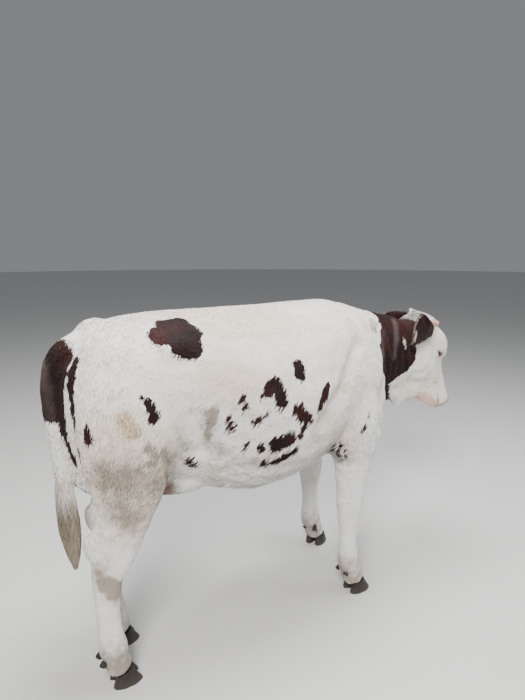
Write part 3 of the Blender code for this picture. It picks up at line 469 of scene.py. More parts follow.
def coat_material(groups):
    """Short hair with the heifer's markings."""
    made, nodes, shader = principled(
        "Coat", Roughness=0.66, Sheen_Weight=0.04, Sheen_Roughness=0.5, Specular_IOR_Level=0.10
    )
    coat = group_node(nodes, groups["coat"], Edge=0.009)
    nodes.put(shader, "Base Color", coat.outputs["Color"])
    nodes.bump(shader, streaks_on(nodes, groups), 0.25, 0.0012)
    return made


class HeiferSettings(bpy.types.PropertyGroup):
    """Sizes and colours that a user would change."""

    skin_voxel: FloatProperty(
        name="Skin fineness", description="Size of the skin's faces", default=0.0098, unit="LENGTH",
    )
    coat_depth: FloatProperty(
        name="Coat depth", description="How far the skin lies under the solids",
        default=0.0045, unit="LENGTH",
    )
    tuft_length: FloatProperty(
        name="Tuft length", description="Length of the body's tufts", default=0.024, unit="LENGTH",
    )
    tuft_width: FloatProperty(
        name="Tuft width", description="Half the width of a tuft of the body",
        default=0.0021, unit="LENGTH",
    )
    tuft_count: IntProperty(
        name="Tufts", description="How many tufts the whole coat has", default=140000, min=1000,
    )
    white: FloatVectorProperty(
        name="White", description="White of the coat", subtype="COLOR", default=(0.77, 0.755, 0.73),
    )
    cream: FloatVectorProperty(
        name="Cream", description="Warmer white of the back and ribs",
        subtype="COLOR", default=(0.68, 0.59, 0.50),
    )
    brown: FloatVectorProperty(
        name="Brown", description="Red-brown of the patches",
        subtype="COLOR", default=(0.033, 0.0090, 0.0076),
    )
    deep_brown: FloatVectorProperty(
        name="Deep brown", description="Dark brown of the neck",
        subtype="COLOR", default=(0.013, 0.0052, 0.0050),
    )
    dirt: FloatVectorProperty(
        name="Dirt", description="Dried dirt on the legs", subtype="COLOR", default=(0.215, 0.180, 0.138),
    )
    straw: FloatVectorProperty(
        name="Straw", description="Dry fleck on the thigh", subtype="COLOR", default=(0.37, 0.25, 0.12),
    )
    pink: FloatVectorProperty(
        name="Pink", description="Skin that shows through thin hair",
        subtype="COLOR", default=(0.62, 0.38, 0.31),
    )
    eye: FloatVectorProperty(
        name="Eye", description="Iris of the eye", subtype="COLOR", default=(0.014, 0.007, 0.004),
    )
    horn: FloatVectorProperty(
        name="Horn", description="Horn buds", subtype="COLOR", default=(0.60, 0.35, 0.25),
    )
    hoof: FloatVectorProperty(
        name="Hoof", description="Horn of the claws", subtype="COLOR", default=(0.012, 0.010, 0.009),
    )
    floor: FloatVectorProperty(
        name="Floor", description="Colour of the floor", subtype="COLOR", default=(0.66, 0.66, 0.65),
    )
    light: FloatProperty(name="Light", description="Strength of all lights", default=1.0, min=0.0)


# Edges of the neck's brown: the rear and the front one at each height, and the lower one at each length
NECK_REAR = ((0.86, 0.90, 0.96, 1.02, 1.074, 1.134, 1.20), (0.470, 0.420, 0.376, 0.396, 0.430, 0.452, 0.460))
NECK_LOW = ((0.38, 0.50, 0.528, 0.56, 0.603, 0.635, 0.66), (0.955, 0.868, 0.876, 0.897, 0.920, 0.954, 1.00))
NECK_FRONT = (
    (0.90, 0.954, 1.000, 1.033, 1.06, 1.10, 1.14, 1.17, 1.20),
    (0.620, 0.637, 0.643, 0.636, 0.648, 0.665, 0.696, 0.712, 0.715),
)
MUZZLE_BARE = (0.428, 0.444)  # where the bare skin of the muzzle begins
BROWN_DEPTH = 0.05  # the most that the brown's field says, in metres inside or outside an edge
FIELDS = ("brown", "pale", "dirt", "buff", "straw", "pink")


def near(points, strokes, soft):
    """From 0 far from the strokes to 1 at their middle lines."""
    return smooth(stroke_field(points, strokes), -soft, soft)


def markings(points):
    """The fields that the coat's colour is made from, at each point."""
    brown = stroke_field(points, (*BROWN_RIGHT, *BROWN_LEFT, *BROWN_NECK))
    ahead = points[:, 0] - np.interp(points[:, 2], *NECK_REAR)
    above = points[:, 2] - np.interp(points[:, 0], *NECK_LOW)
    behind = np.interp(points[:, 2], *NECK_FRONT) - points[:, 0]
    neck = np.minimum(np.minimum(ahead, above), behind)
    brown = np.maximum(brown, np.minimum(neck, -stroke_field(points, WHITE_IN_NECK)))
    local = to_head(points)
    below = -local[:, 2]
    lids = np.minimum(*(np.linalg.norm(local - np.array(sided(EYE, side)), axis=1) for side in (RIGHT, LEFT)))
    thin = np.maximum(1 - smooth(lids, 0.022, 0.046), smooth(local[:, 0], 0.385, 0.44) * (below < 0.13))
    thin = thin * (np.abs(local[:, 1]) < 0.11)
    blotch = smooth(stroke_field(points, SMUDGES) + 0.009 * rough(points, 0.028, 7.0), -0.013, 0.012)
    chin = smooth(local[:, 0], 0.38, 0.45) * band(below, (0.09, 0.12), (0.19, 0.23))
    return {
        "brown": np.clip(brown, -BROWN_DEPTH, BROWN_DEPTH),
        # The pale field holds the stripes of painted sheen on the brown hair
        "pale": near(points, PAINTED_SHEEN_STROKES, 0.014),
        "dirt": np.maximum(near(points, DIRT, 0.09), 1.15 * blotch),
        "buff": near(points, BUFF, 0.06),
        "straw": near(points, STRAW, 0.006),
        "pink": np.maximum(near(points, BARE_PINK, 0.03), np.maximum(0.6 * chin, 0.42 * thin)),
    }


def link(made):
    bpy.context.scene.collection.objects.link(made)
    return made


def object_from(name, bm):
    mesh = bpy.data.meshes.new(name)
    bm.to_mesh(mesh)
    bm.free()
    return link(bpy.data.objects.new(name, mesh))


def reshape(made, change):
    """Runs a change on the corners and faces of an object's mesh."""
    bm = bmesh.new()
    bm.from_mesh(made.data)
    change(bm)
    bm.to_mesh(made.data)
    bm.free()


def bake_modifiers(made):
    """Makes an object's modifiers part of its mesh."""
    graph = bpy.context.evaluated_depsgraph_get()
    old = made.data
    made.data = bpy.data.meshes.new_from_object(
        made.evaluated_get(graph), preserve_all_data_layers=True, depsgraph=graph
    )
    made.modifiers.clear()
    bpy.data.meshes.remove(old)


def remesh(made, size):
    again = made.modifiers.new("Remesh", "REMESH")
    again.mode = "VOXEL"
    again.voxel_size = size
    again.use_smooth_shade = True
    bake_modifiers(made)


def vectors_of(items, label):
    found = np.empty(len(items) * 3, np.float32)
    items.foreach_get(label, found)
    return found.reshape(-1, 3).astype(float)


def places(mesh):
    return vectors_of(mesh.vertices, "co")


def put_places(mesh, points):
    mesh.vertices.foreach_set("co", np.ascontiguousarray(points, np.float32).ravel())
    mesh.update()


def stand_out(made, height):
    """Moves each corner of a surface outwards by its height."""
    put_places(made.data, places(made.data) + directions(made.data) * height[:, None])


def directions(mesh):
    return vectors_of(mesh.vertex_normals, "vector")


def ends_of_edges(mesh):
    edges = np.empty(len(mesh.edges) * 2, np.int32)
    mesh.edges.foreach_get("vertices", edges)
    return edges.reshape(-1, 2)


def relax(mesh, times):
    """Evens a surface out without shrinking it."""
    points, edges = places(mesh), ends_of_edges(mesh)
    here = np.concatenate((edges[:, 0], edges[:, 1]))
    there = np.concatenate((edges[:, 1], edges[:, 0]))
    count = np.maximum(np.bincount(here, minlength=len(points)), 1)
    for _ in range(times):
        for step in (0.5, -0.53):
            mean = np.stack([np.bincount(here, points[there, k], len(points)) for k in range(3)], 1)
            points = points + step * (mean / count[:, None] - points)
    put_places(mesh, points)


def even_out(mesh, times, share):
    """Draws each corner to the middle of its neighbours, by its share from 0 to 1."""
    points, edges = places(mesh), ends_of_edges(mesh)
    one, two = edges.T
    count = np.maximum(np.bincount(edges.ravel(), minlength=len(points)), 1)[:, None]
    for _ in range(times):
        total = np.zeros_like(points)
        for axis in range(3):
            total[:, axis] += np.bincount(one, points[two, axis], len(points))
            total[:, axis] += np.bincount(two, points[one, axis], len(points))
        points = points + (total / count - points) * 0.5 * share[:, None]
    put_places(mesh, points)


def give(mesh, name, values):
    """Stores numbers or vectors at the points of a mesh."""
    values = np.asarray(values, np.float32)
    kind, key = ("FLOAT", "value") if values.ndim == 1 else ("FLOAT_VECTOR", "vector")
    layer = mesh.attributes.get(name) or mesh.attributes.new(name, kind, "POINT")
    layer.data.foreach_set(key, np.ascontiguousarray(values).ravel())


def give_markings(mesh, along=1.0, bare=0.0, hole=0.0, **changed):
    """Stores everything that the colour of the skin needs on a mesh that isn't made of tufts."""
    points = places(mesh)
    # The hole field says where the bare skin turns near-black: painted shade in the nostrils and along the
    # mouth, and the lids' dark rim
    for name, value in (("bare", bare), ("hole", hole)):
        give(mesh, name, value if np.ndim(value) else np.full(len(points), value))
    give(mesh, "root", points)
    # The along value sets the coat's painted root shade: 1 paints none, and less paints the piece darker
    give(mesh, "along", np.full(len(points), along))
    give(mesh, "own", np.full(len(points), 0.45))
    for name, values in {**markings(points), **changed}.items():
        give(mesh, name, values)


def finish_piece(made, material, slot, *nodes):
    """Gives a finished piece its material and place in the frame."""
    made.data.materials.clear()
    made.data.materials.append(material)
    made.data.polygons.foreach_set("use_smooth", [True] * len(made.data.polygons))
    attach(made, "root")
    if nodes:
        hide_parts(*nodes)
    return made


def merged(*nodes):
    """A merged copy of some of the solids."""
    bm = bmesh.new()
    for node in nodes:
        bm.from_mesh(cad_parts[node].data)
    bmesh.ops.remove_doubles(bm, verts=bm.verts, dist=0.00002)
    return bm


def flesh_owner():
    """A tree of all the flesh, and for each of its faces the node it belongs to."""
    corners, faces, owner = [], [], []
    for number, node in enumerate(FLESH):
        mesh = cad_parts[node].data
        start = len(corners)
        corners += [tuple(v.co) for v in mesh.vertices]
        faces += [tuple(start + k for k in face.vertices) for face in mesh.polygons]
        owner += [number] * len(mesh.polygons)
    return BVHTree.FromPolygons(corners, faces), np.array(owner)


def owners(points):
    """The number of the flesh node nearest to each point."""
    tree, owner = flesh_owner()
    return owner[[tree.find_nearest(point)[2] for point in points.tolist()]]


def belongs(owner, *nodes):
    """Which places lie on some of the flesh nodes."""
    return np.isin(owner, [FLESH.index(node) for node in nodes])


def ridge(value, sharp):
    """Narrow grooves, 1 deep, one for each whole number."""
    return (0.5 + 0.5 * np.cos(2 * math.pi * value)) ** sharp


# Creases of the throat and jaw, and hollows behind the shoulder, before the thigh and above the elbow
CREASES = strokes(
    (654, -124, 905, 655, -88, 844, 3), (655, -88, 844, 641, -84, 800, 3),
    (641, -84, 800, 643, -76, 762, 3), (740, -142, 948, 748, -134, 890, 1),
    (748, -134, 890, 786, -100, 834, 2), (786, -100, 834, 763, -78, 774, 3),
    (700, -140, 960, 715, -135, 880, 1), (654, 124, 905, 648, 86, 820, 3),
    (748, 134, 900, 780, 100, 834, 2),
)
HOLLOWS = mirrored(
    (200, -216, 1090, 150, -246, 1045, 2), (150, -246, 1045, 64, -290, 948, 6),
    (64, -290, 948, -43, -309, 844, 10), (-500, -225, 790, -540, -245, 930, 8),
    (300, -235, 760, 345, -215, 900, 4),
)
# The low lines between tendon and bone of the legs
GROOVES = strokes(
    (-800, -206, 640, -842, -184, 540, 2), (-800, -92, 620, -842, -84, 540, 2),
    (-832, -168, 400, -826, -160, 180, 0), (-832, -82, 400, -826, -84, 180, 0),
    (-733, 158, 640, -775, 136, 540, 2), (-733, 36, 620, -775, 32, 540, 2),
    (-766, 118, 400, -760, 110, 180, 0), (-766, 32, 400, -760, 34, 180, 0),
    (184, -233, 360, 192, -226, 160, 0), (184, -142, 360, 192, -150, 160, 0),
    (296, 252, 360, 304, 246, 160, 0), (296, 163, 360, 304, 170, 160, 0),
)
CREASE_DEPTH, HOLLOW_DEPTH, GROOVE_DEPTH = 0.0075, 0.0160, 0.0065
FOLD_SPACING, FOLD_DEPTH, FOLD_LEAN = 0.038, 0.0050, 0.16
RIB_SPACING, RIB_DEPTH, RIB_LEAN = 0.062, 0.0022, 0.18
UNEVEN = 0.0016


def body_relief(points):
    """How far the skin of the body stands out at each point: folds, creases, ribs and unevenness."""
    x, y, z = points.T
    neck = band(x, (0.36, 0.43), (0.60, 0.66)) * smooth(z, 0.80, 0.92)
    lean = x + FOLD_LEAN * (z - 1.0) + 0.006 * rough(points, 0.06)
    relief = -FOLD_DEPTH * neck * ridge(lean / FOLD_SPACING, 3)
    for lines, depth, low, high in (
        (CREASES, CREASE_DEPTH, -0.012, 0.003),
        (HOLLOWS, HOLLOW_DEPTH, -0.045, 0.004),
        (GROOVES, GROOVE_DEPTH, -0.022, 0.003),
    ):
        relief = relief - depth * smooth(stroke_field(points, lines), low, high)
    ribs = band(x, (-0.40, -0.28), (0.02, 0.12)) * smooth(np.abs(y), 0.20, 0.26)
    ribs = ribs * band(z, (0.74, 0.84), (1.02, 1.12))
    relief = relief - RIB_DEPTH * ribs * ridge((x - RIB_LEAN * (z - 0.9)) / RIB_SPACING, 1)
    return relief + UNEVEN * rough(points, 0.045, 3.0)


def eye_zone(points, side):
    """Points in an eye's frame, and how far each lies from its middle line in lengths of the opening."""
    local = from_matrix(points, eye_matrix(side))
    upper = np.where(local[:, 1] > 0, 1.0, 0.9) * LID_HALF[1]
    return local, np.hypot(local[:, 0] / LID_HALF[0], local[:, 1] / upper)


def nostril_field(local, side):
    """How near each point of the head's frame is to a nostril, 1 at its middle and 0 at its rim."""
    best = np.full(len(local), -9.0)
    spots = [(HEAD_LENGTH - back, side * aside, above) for back, aside, above, _ in NOSTRIL]
    for one, two, start, end in zip(NOSTRIL, NOSTRIL[1:], spots, spots[1:]):
        share, gap = along_stroke(local, start, end)
        thick = one[3] + (two[3] - one[3]) * share
        best = np.maximum(best, 1 - gap / (thick * 0.92))
    return best


# The low and high lines of the face, in the head's frame, and how far its forms stand out, in metres
FACE_DEPTH, WRINKLE_DEPTH, BROW_HEIGHT = 0.0070, 0.0024, 0.0050
LIP_SWELL, MOUTH_DEPTH, NOSTRIL_DEPTH, NOSTRIL_RIM = 0.0018, 0.0052, 0.019, 0.0034
EYE_BED = 0.006  # how far the skin behind an eye lies inside its ball
FACE_HOLLOWS = mirrored(
    (215, 70, -50, 300, 50, -40, 4), (235, 85, -125, 320, 60, -115, 8), (205, 90, -165, 190, 85, -215, 4),
    (60, 95, -60, 110, 95, -60, 6), (330, 50, -130, 300, 55, -175, 2),
)
FACE_RIDGES = mirrored(
    (200, 92, -85, 300, 64, -88, 3), (170, 98, -120, 165, 94, -190, 4), (130, 86, -30, 180, 76, -24, 4),
    (415, 50, -75, 440, 40, -80, 4),
)


def both_nostrils(local):
    return np.maximum(nostril_field(local, RIGHT), nostril_field(local, LEFT))


def mouth_line(local):
    """How far points of the head's frame lie above the line of the mouth, and if they are along it."""
    corner = np.clip((HEAD_LENGTH - local[:, 0]) / MOUTH_BACK, 0, 1)
    level = MOUTH_LEVEL + 0.012 * (1 - np.cos(corner * math.pi / 2)) ** 2
    inside = smooth(local[:, 0], HEAD_LENGTH - MOUTH_BACK, HEAD_LENGTH - MOUTH_BACK + 0.012)
    return local[:, 2] - level, inside


def face_relief(points, normals):
    """Moves the skin of the head: lids, nostrils, the line of the mouth and small wrinkles."""
    local = to_head(points)
    moved = points.copy()
    above_lips, inside = mouth_line(local)
    mouth = (1 - smooth(np.abs(above_lips), 0.0002, 0.0028)) * inside
    swell = np.exp(-(((above_lips - 0.009) / 0.006) ** 2)) * inside
    relief = LIP_SWELL * swell - MOUTH_DEPTH * mouth
    relief = relief - FACE_DEPTH * smooth(stroke_field(local, FACE_HOLLOWS), -0.024, 0.006)
    relief = relief + FACE_DEPTH * smooth(stroke_field(local, FACE_RIDGES), -0.018, 0.006)
    for side in (RIGHT, LEFT):
        hole = nostril_field(local, side)
        relief = relief - NOSTRIL_DEPTH * smooth(hole, -0.02, 0.60)
        relief = relief + NOSTRIL_RIM * np.exp(-(((hole + 0.28) / 0.22) ** 2))
        zone, reach = eye_zone(points, side)
        beside = zone[:, 2] > 0
        wrinkle = ridge(reach * 1.05 + 0.25, 3) * smooth(reach, 1.7, 2.3) * (1 - smooth(reach, 3.4, 5.0))
        relief = relief - WRINKLE_DEPTH * wrinkle * beside
        brow = np.exp(-(((zone[:, 1] - 0.030) / 0.012) ** 2) - (zone[:, 0] / 0.034) ** 2)
        relief = relief + BROW_HEIGHT * brow * beside
    relief = relief + 0.0006 * rough(points, 0.012, 5.0)
    moved += normals * relief[:, None]
    for side in (RIGHT, LEFT):
        zone, reach = eye_zone(moved, side)
        distance = np.linalg.norm(zone, axis=1)
        under = (1 - smooth(reach, 1.55, 2.1)) * (zone[:, 2] > 0) * (distance < 0.04)
        target = np.array(eye_matrix(side).translation)
        shrink = np.minimum(1.0, (EYE_RADIUS - EYE_BED) / np.maximum(distance, 1e-6))
        moved = target + (moved - target) * (1 + under[:, None] * (shrink[:, None] - 1))
    return moved


def refine(made, choose):
    """Splits the faces whose middles are chosen."""

    def change(bm):
        middles = np.array([face.calc_center_median() for face in bm.faces])
        edges = {edge for face, wanted in zip(bm.faces, choose(middles)) if wanted for edge in face.edges}
        bmesh.ops.subdivide_edges(bm, edges=list(edges), cuts=1, use_grid_fill=True, smooth=0.3)
        bmesh.ops.triangulate(bm, faces=[face for face in bm.faces if len(face.verts) > 4])

    reshape(made, change)


def on_head(points):
    local = to_head(points)
    return (local[:, 2] > -0.24) & (local[:, 0] > -0.03) & (local[:, 0] < 0.6)


def on_muzzle(points):
    return on_head(points) & (to_head(points)[:, 0] > HEAD_LENGTH - 0.115)


def by_lips(points):
    local = to_head(points)
    above_lips, inside = mouth_line(local)
    lips = (np.abs(above_lips) < 0.006) & (inside > 0)
    return on_muzzle(points) & (lips | (both_nostrils(local) > -0.35))


def by_eyes(points):
    gaps = [np.linalg.norm(points - np.array(eye_matrix(side).translation), axis=1) for side in (RIGHT, LEFT)]
    return np.minimum(*gaps) < 0.050


POLL_DEPTH = 0.005  # how much further the skin lies under the tuft between the horns
SWELL, INSET = 0.0006, 0.0070  # how far the solids are swollen, and their skin drawn in, to melt small forms
SLIM_DEPTH = 0.55  # share of the coat's depth on the legs and the head
SLIM_BELOW = 0.60  # height under which a leg is bare of the body's coat


def poll_share(points):
    """1 under the tuft between the horns and 0 away from it."""
    local = to_head(points)
    gap = np.hypot((local[:, 0] + 0.004) / 0.052, local[:, 1] / 0.056)
    return (1 - smooth(gap, 0.7, 1.25)) * smooth(local[:, 2], -0.12, -0.07)


def keep_largest(made):
    """Removes the small loose parts, keeping only the largest."""

    def change(bm):
        left, parts = set(bm.verts), []
        while left:
            part, waiting = set(), [left.pop()]
            while waiting:
                corner = waiting.pop()
                part.add(corner)
                others = {edge.other_vert(corner) for edge in corner.link_edges} & left
                left -= others
                waiting += others
            parts.append(part)
        parts.sort(key=len)
        bmesh.ops.delete(bm, geom=[corner for part in parts[:-1] for corner in part], context="VERTS")

    reshape(made, change)


def by_face(points):
    return on_muzzle(points) | by_eyes(points)


def build_skin(settings, material):
    """One skin under the whole coat, a little inside the solids."""
    made = object_from("skin", merged(*FLESH, "eye_right", "eye_left"))
    for distance in (SWELL, -INSET):
        stand_out(made, np.full(len(made.data.vertices), distance))
        remesh(made, settings.skin_voxel)
    keep_largest(made)
    relax(made.data, 6)
    points = places(made.data)
    slim = (points[:, 2] < SLIM_BELOW) | on_head(points)
    depth = np.where(slim, settings.coat_depth * SLIM_DEPTH, settings.coat_depth)
    stand_out(made, INSET - (depth + POLL_DEPTH * poll_share(points)))
    relax(made.data, 2)
    even_out(made.data, 30, smooth(poll_share(places(made.data)), 0.05, 0.6))
    stand_out(made, body_relief(places(made.data)))
    for where, evened in ((on_head, 2), (by_face, 1), (by_lips, 0)):
        refine(made, where)
        relax(made.data, evened)
    put_places(made.data, face_relief(places(made.data), directions(made.data)))
    local = to_head(places(made.data))
    ragged = local[:, 0] + 0.008 * rough(local, 0.020) - 0.20 * np.maximum(np.abs(local[:, 1]) - 0.03, 0)
    muzzle = smooth(ragged, *MUZZLE_BARE) * smooth(local[:, 2], -0.112, -0.100)
    holes = both_nostrils(local)
    above_lips, inside = mouth_line(local)
    lips = 0.7 * (1 - smooth(np.abs(above_lips), 0.001, 0.006)) * inside * (local[:, 0] < 0.6)
    bare = np.maximum(np.maximum(muzzle, lips), smooth(holes, -1.0, -0.5))
    # Painted shadow along the line of the mouth and painted shade inside the nostrils go into the hole field
    shadow = (1 - smooth(np.abs(above_lips), 0.0006, 0.0022)) * inside * 0.8
    give_markings(made.data, bare=bare, hole=np.maximum(shadow, smooth(holes, -0.15, 0.35)))
    return finish_piece(made, material, "coat_white", *FLESH)


def grid_mesh(name, rows, closed=False):
    """A surface through rows of points."""
    bm = bmesh.new()
    lines = [[bm.verts.new(point) for point in row] for row in rows]
    for one, two in zip(lines, lines[1:]):
        count = len(one) if closed else len(one) - 1
        for k in range(count):
            after = (k + 1) % len(one)
            bm.faces.new((one[k], one[after], two[after], two[k]))
    return object_from(name, bm)


def face_outward(made):
    reshape(made, lambda bm: bmesh.ops.recalc_face_normals(bm, faces=bm.faces))


LID_RINGS = (
    (0.90, 0.0002), (0.98, 0.0007), (1.00, 0.0018), (1.05, 0.0029), (1.15, 0.0033), (1.32, 0.0031),
    (1.46, 0.0020), (1.60, 0.0031), (1.80, 0.0034), (2.00, 0.0012), (2.20, -0.0040),
)  # how wide each ring of a lid is, in lengths of the opening, and how far it stands over the ball


def build_lids(side, name, material):
    """Both lids of one eye as a ring from the ball out to the face, with a fold over the upper one."""
    around, rows = 48, []
    for reach, over in LID_RINGS:
        row = []
        for k in range(around):
            turn = 2 * math.pi * k / around
            upper = math.sin(turn) > 0
            pinch = 1 - 0.28 * abs(math.cos(turn)) ** 6
            x = LID_HALF[0] * reach * math.cos(turn) * (1.10 if reach < 1.2 else 1.0)
            y = LID_HALF[1] * reach * math.sin(turn) * (1.0 if upper else 0.9) * pinch
            if reach > 1.3:
                y *= 1.12
            radius = EYE_RADIUS + over * (1.15 if upper else 0.85)
            z = math.sqrt(max(radius**2 - x**2 - y**2, 0.00002))
            row.append(Vector((x, y, z)))
        rows.append(row)
    made = grid_mesh(name, rows, closed=True)
    made.data.transform(eye_matrix(side))
    face_outward_from(made, eye_matrix(side).translation)
    smoother = made.modifiers.new("Finer", "SUBSURF")
    smoother.levels = smoother.render_levels = 1
    bake_modifiers(made)
    zone = from_matrix(places(made.data), eye_matrix(side))
    reach = np.hypot(zone[:, 0] / LID_HALF[0], zone[:, 1] / LID_HALF[1])
    # The lids' rim is painted near-black: a dark rim, with painted shade in the slit of the eye
    give_markings(made.data, bare=1 - smooth(reach, 1.10, 1.45), hole=0.75 * (1 - smooth(reach, 0.98, 1.12)))
    return finish_piece(made, material, "coat_white")


def face_outward_from(made, centre):
    """Turns the faces of an open surface away from a point."""

    def change(bm):
        bm.normal_update()
        out = [(face.calc_center_median() - centre).dot(face.normal) * face.calc_area() for face in bm.faces]
        if sum(out) < 0:
            bmesh.ops.reverse_faces(bm, faces=bm.faces)

    reshape(made, change)


def build_eye(side, name, node, material):
    """The ball of an eye with a cornea that stands out a little."""
    bm = bmesh.new()
    bmesh.ops.create_uvsphere(bm, u_segments=40, v_segments=28, radius=EYE_RADIUS)
    for corner in bm.verts:
        ahead = max(corner.co.z / EYE_RADIUS, 0)
        corner.co.z += 0.0016 * max(ahead - 0.62, 0) / 0.38 * ahead
    made = object_from(name, bm)
    give(made.data, "local", places(made.data) / EYE_RADIUS)
    made.data.transform(eye_matrix(side))
    return finish_piece(made, material, "eye", node)


def build_horn(side, name, node, material):
    """A short horn bud with faint rings."""
    rows, rings, around = [], 18, 28
    out = sided(HORN_OUT, side)
    across = out.cross(Vector((1, 0, 0))).normalized()
    up = out.cross(across).normalized()
    for k in range(rings):
        along = -0.35 + 1.35 * k / (rings - 1)
        dome = math.sqrt(max(1 - max(along, 0) ** 2.4, 0.0004))
        ripple = 1 + 0.035 * math.sin(along * 26) * (1 - max(along, 0))
        thick = HORN_RADIUS * (1.04 - 0.12 * max(along, 0)) * dome * ripple
        middle_point = sided(HORN_PLACE, side) + out * HORN_LENGTH * along
        row = []
        for j in range(around):
            turn = 2 * math.pi * j / around
            row.append(middle_point + (across * math.cos(turn) + up * math.sin(turn)) * thick)
        rows.append(row)
    made = grid_mesh(name, rows, closed=True)
    close_ends(made)
    made.data.transform(HEAD_MATRIX)
    give(made.data, "root", places(made.data))
    return finish_piece(made, material, "horn", node)


def close_ends(made):
    def change(bm):
        bmesh.ops.holes_fill(bm, edges=[edge for edge in bm.edges if edge.is_boundary])
        bmesh.ops.recalc_face_normals(bm, faces=bm.faces)

    reshape(made, change)


EAR_BROWN = 0.03  # how deep inside the brown an ear lies


def ear_matrix(side):
    out = EAR_OUT[side].normalized()
    open_to = (EAR_OPEN[side] - EAR_OPEN[side].dot(out) * out).normalized()
    turn = Matrix((out, open_to.cross(out), open_to)).transposed().to_4x4()
    return HEAD_MATRIX @ Matrix.Translation(sided(EAR_PLACE, side)) @ turn


def ear_point(side, along, across, lift=0.0):
    """A point of the cup of an ear in its own frame: along it, and across it from -1 to 1."""
    rear = across * side
    root = 0.50 + 0.50 * float(smooth(along, 0.0, 0.16))
    spread = float(smooth(along, 0.03, 0.32))
    half = EAR_HALF * (0.42 + 0.58 * math.sin(math.pi * min(1, along * 1.15) ** 0.8))
    half = max(half * (1 - along**4), 0.003) * root
    half *= 1 + 0.03 * math.sin(along * 17 + 2 * across)
    wrap = math.radians(150 - 88 * along)
    bend = wrap / 2 * across
    radius = half * 2 / wrap
    fold = 0.0022 * math.sin(across * 7 + along * 3) * (1 - along)
    return Vector((
        EAR_LENGTH * along - EAR_SUNK,
        (radius - lift) * math.sin(bend) * (1 + spread * (0.375 * rear + 0.225 * rear * rear)),
        radius * (1 - math.cos(bend)) + fold + lift * math.cos(bend),
    ))


def ear_normal(side, along, across):
    """The way that the hollow side of an ear faces."""
    step = 0.01
    low, high = max(along - step, 0.0), min(along + step, 1.0)
    length = ear_point(side, high, across) - ear_point(side, low, across)
    breadth = ear_point(side, along, across + step) - ear_point(side, along, across - step)
    return length.cross(breadth).normalized()


def build_ear(side, name, node, material):
    """The thin cup of an ear."""
    long_way, wide_way = 29, 20
    rows = []
    for i in range(long_way + 1):
        rows.append([ear_point(side, i / long_way, 2 * j / wide_way - 1) for j in range(wide_way + 1)])
    made = grid_mesh(name, rows)
    wall = made.modifiers.new("Wall", "SOLIDIFY")
    wall.thickness = EAR_THICK
    wall.offset = 0
    bake_modifiers(made)
    face_outward(made)
    made.data.transform(ear_matrix(side))
    # An along of 0.6 paints the ear's flap a little darker with the coat's painted root shade
    give_markings(made.data, 0.6, **plain_looks(len(made.data.vertices), brown=EAR_BROWN))
    return finish_piece(made, material, "coat_dark", node)


def build_hoof(node, name, material, size):
    """A claw or dewclaw with softened edges."""
    made = object_from(name, merged(node))
    remesh(made, size)
    relax(made.data, 4)
    give(made.data, "root", places(made.data))
    return finish_piece(made, material, "hoof", node)


def build_udder(material):
    """The small udder and its teats."""
    made = object_from("udder_skin", merged("udder"))
    remesh(made, 0.004)
    relax(made.data, 3)
    stand_out(made, 0.0008 * rough(places(made.data), 0.01))
    count = len(made.data.vertices)
    give_markings(made.data, bare=0.18, pink=np.ones(count), dirt=np.zeros(count))
    return finish_piece(made, material, "udder_skin", "udder")


# The tree that makes locks of hair, and the seeds that it grows them on
LOCK_INPUTS = (
    ("Sides", "Int", 3),
    ("Segments", "Int", 2),
    ("Flatness", "Float", 0.36),
    ("Patch", "Float", 0.003),
)


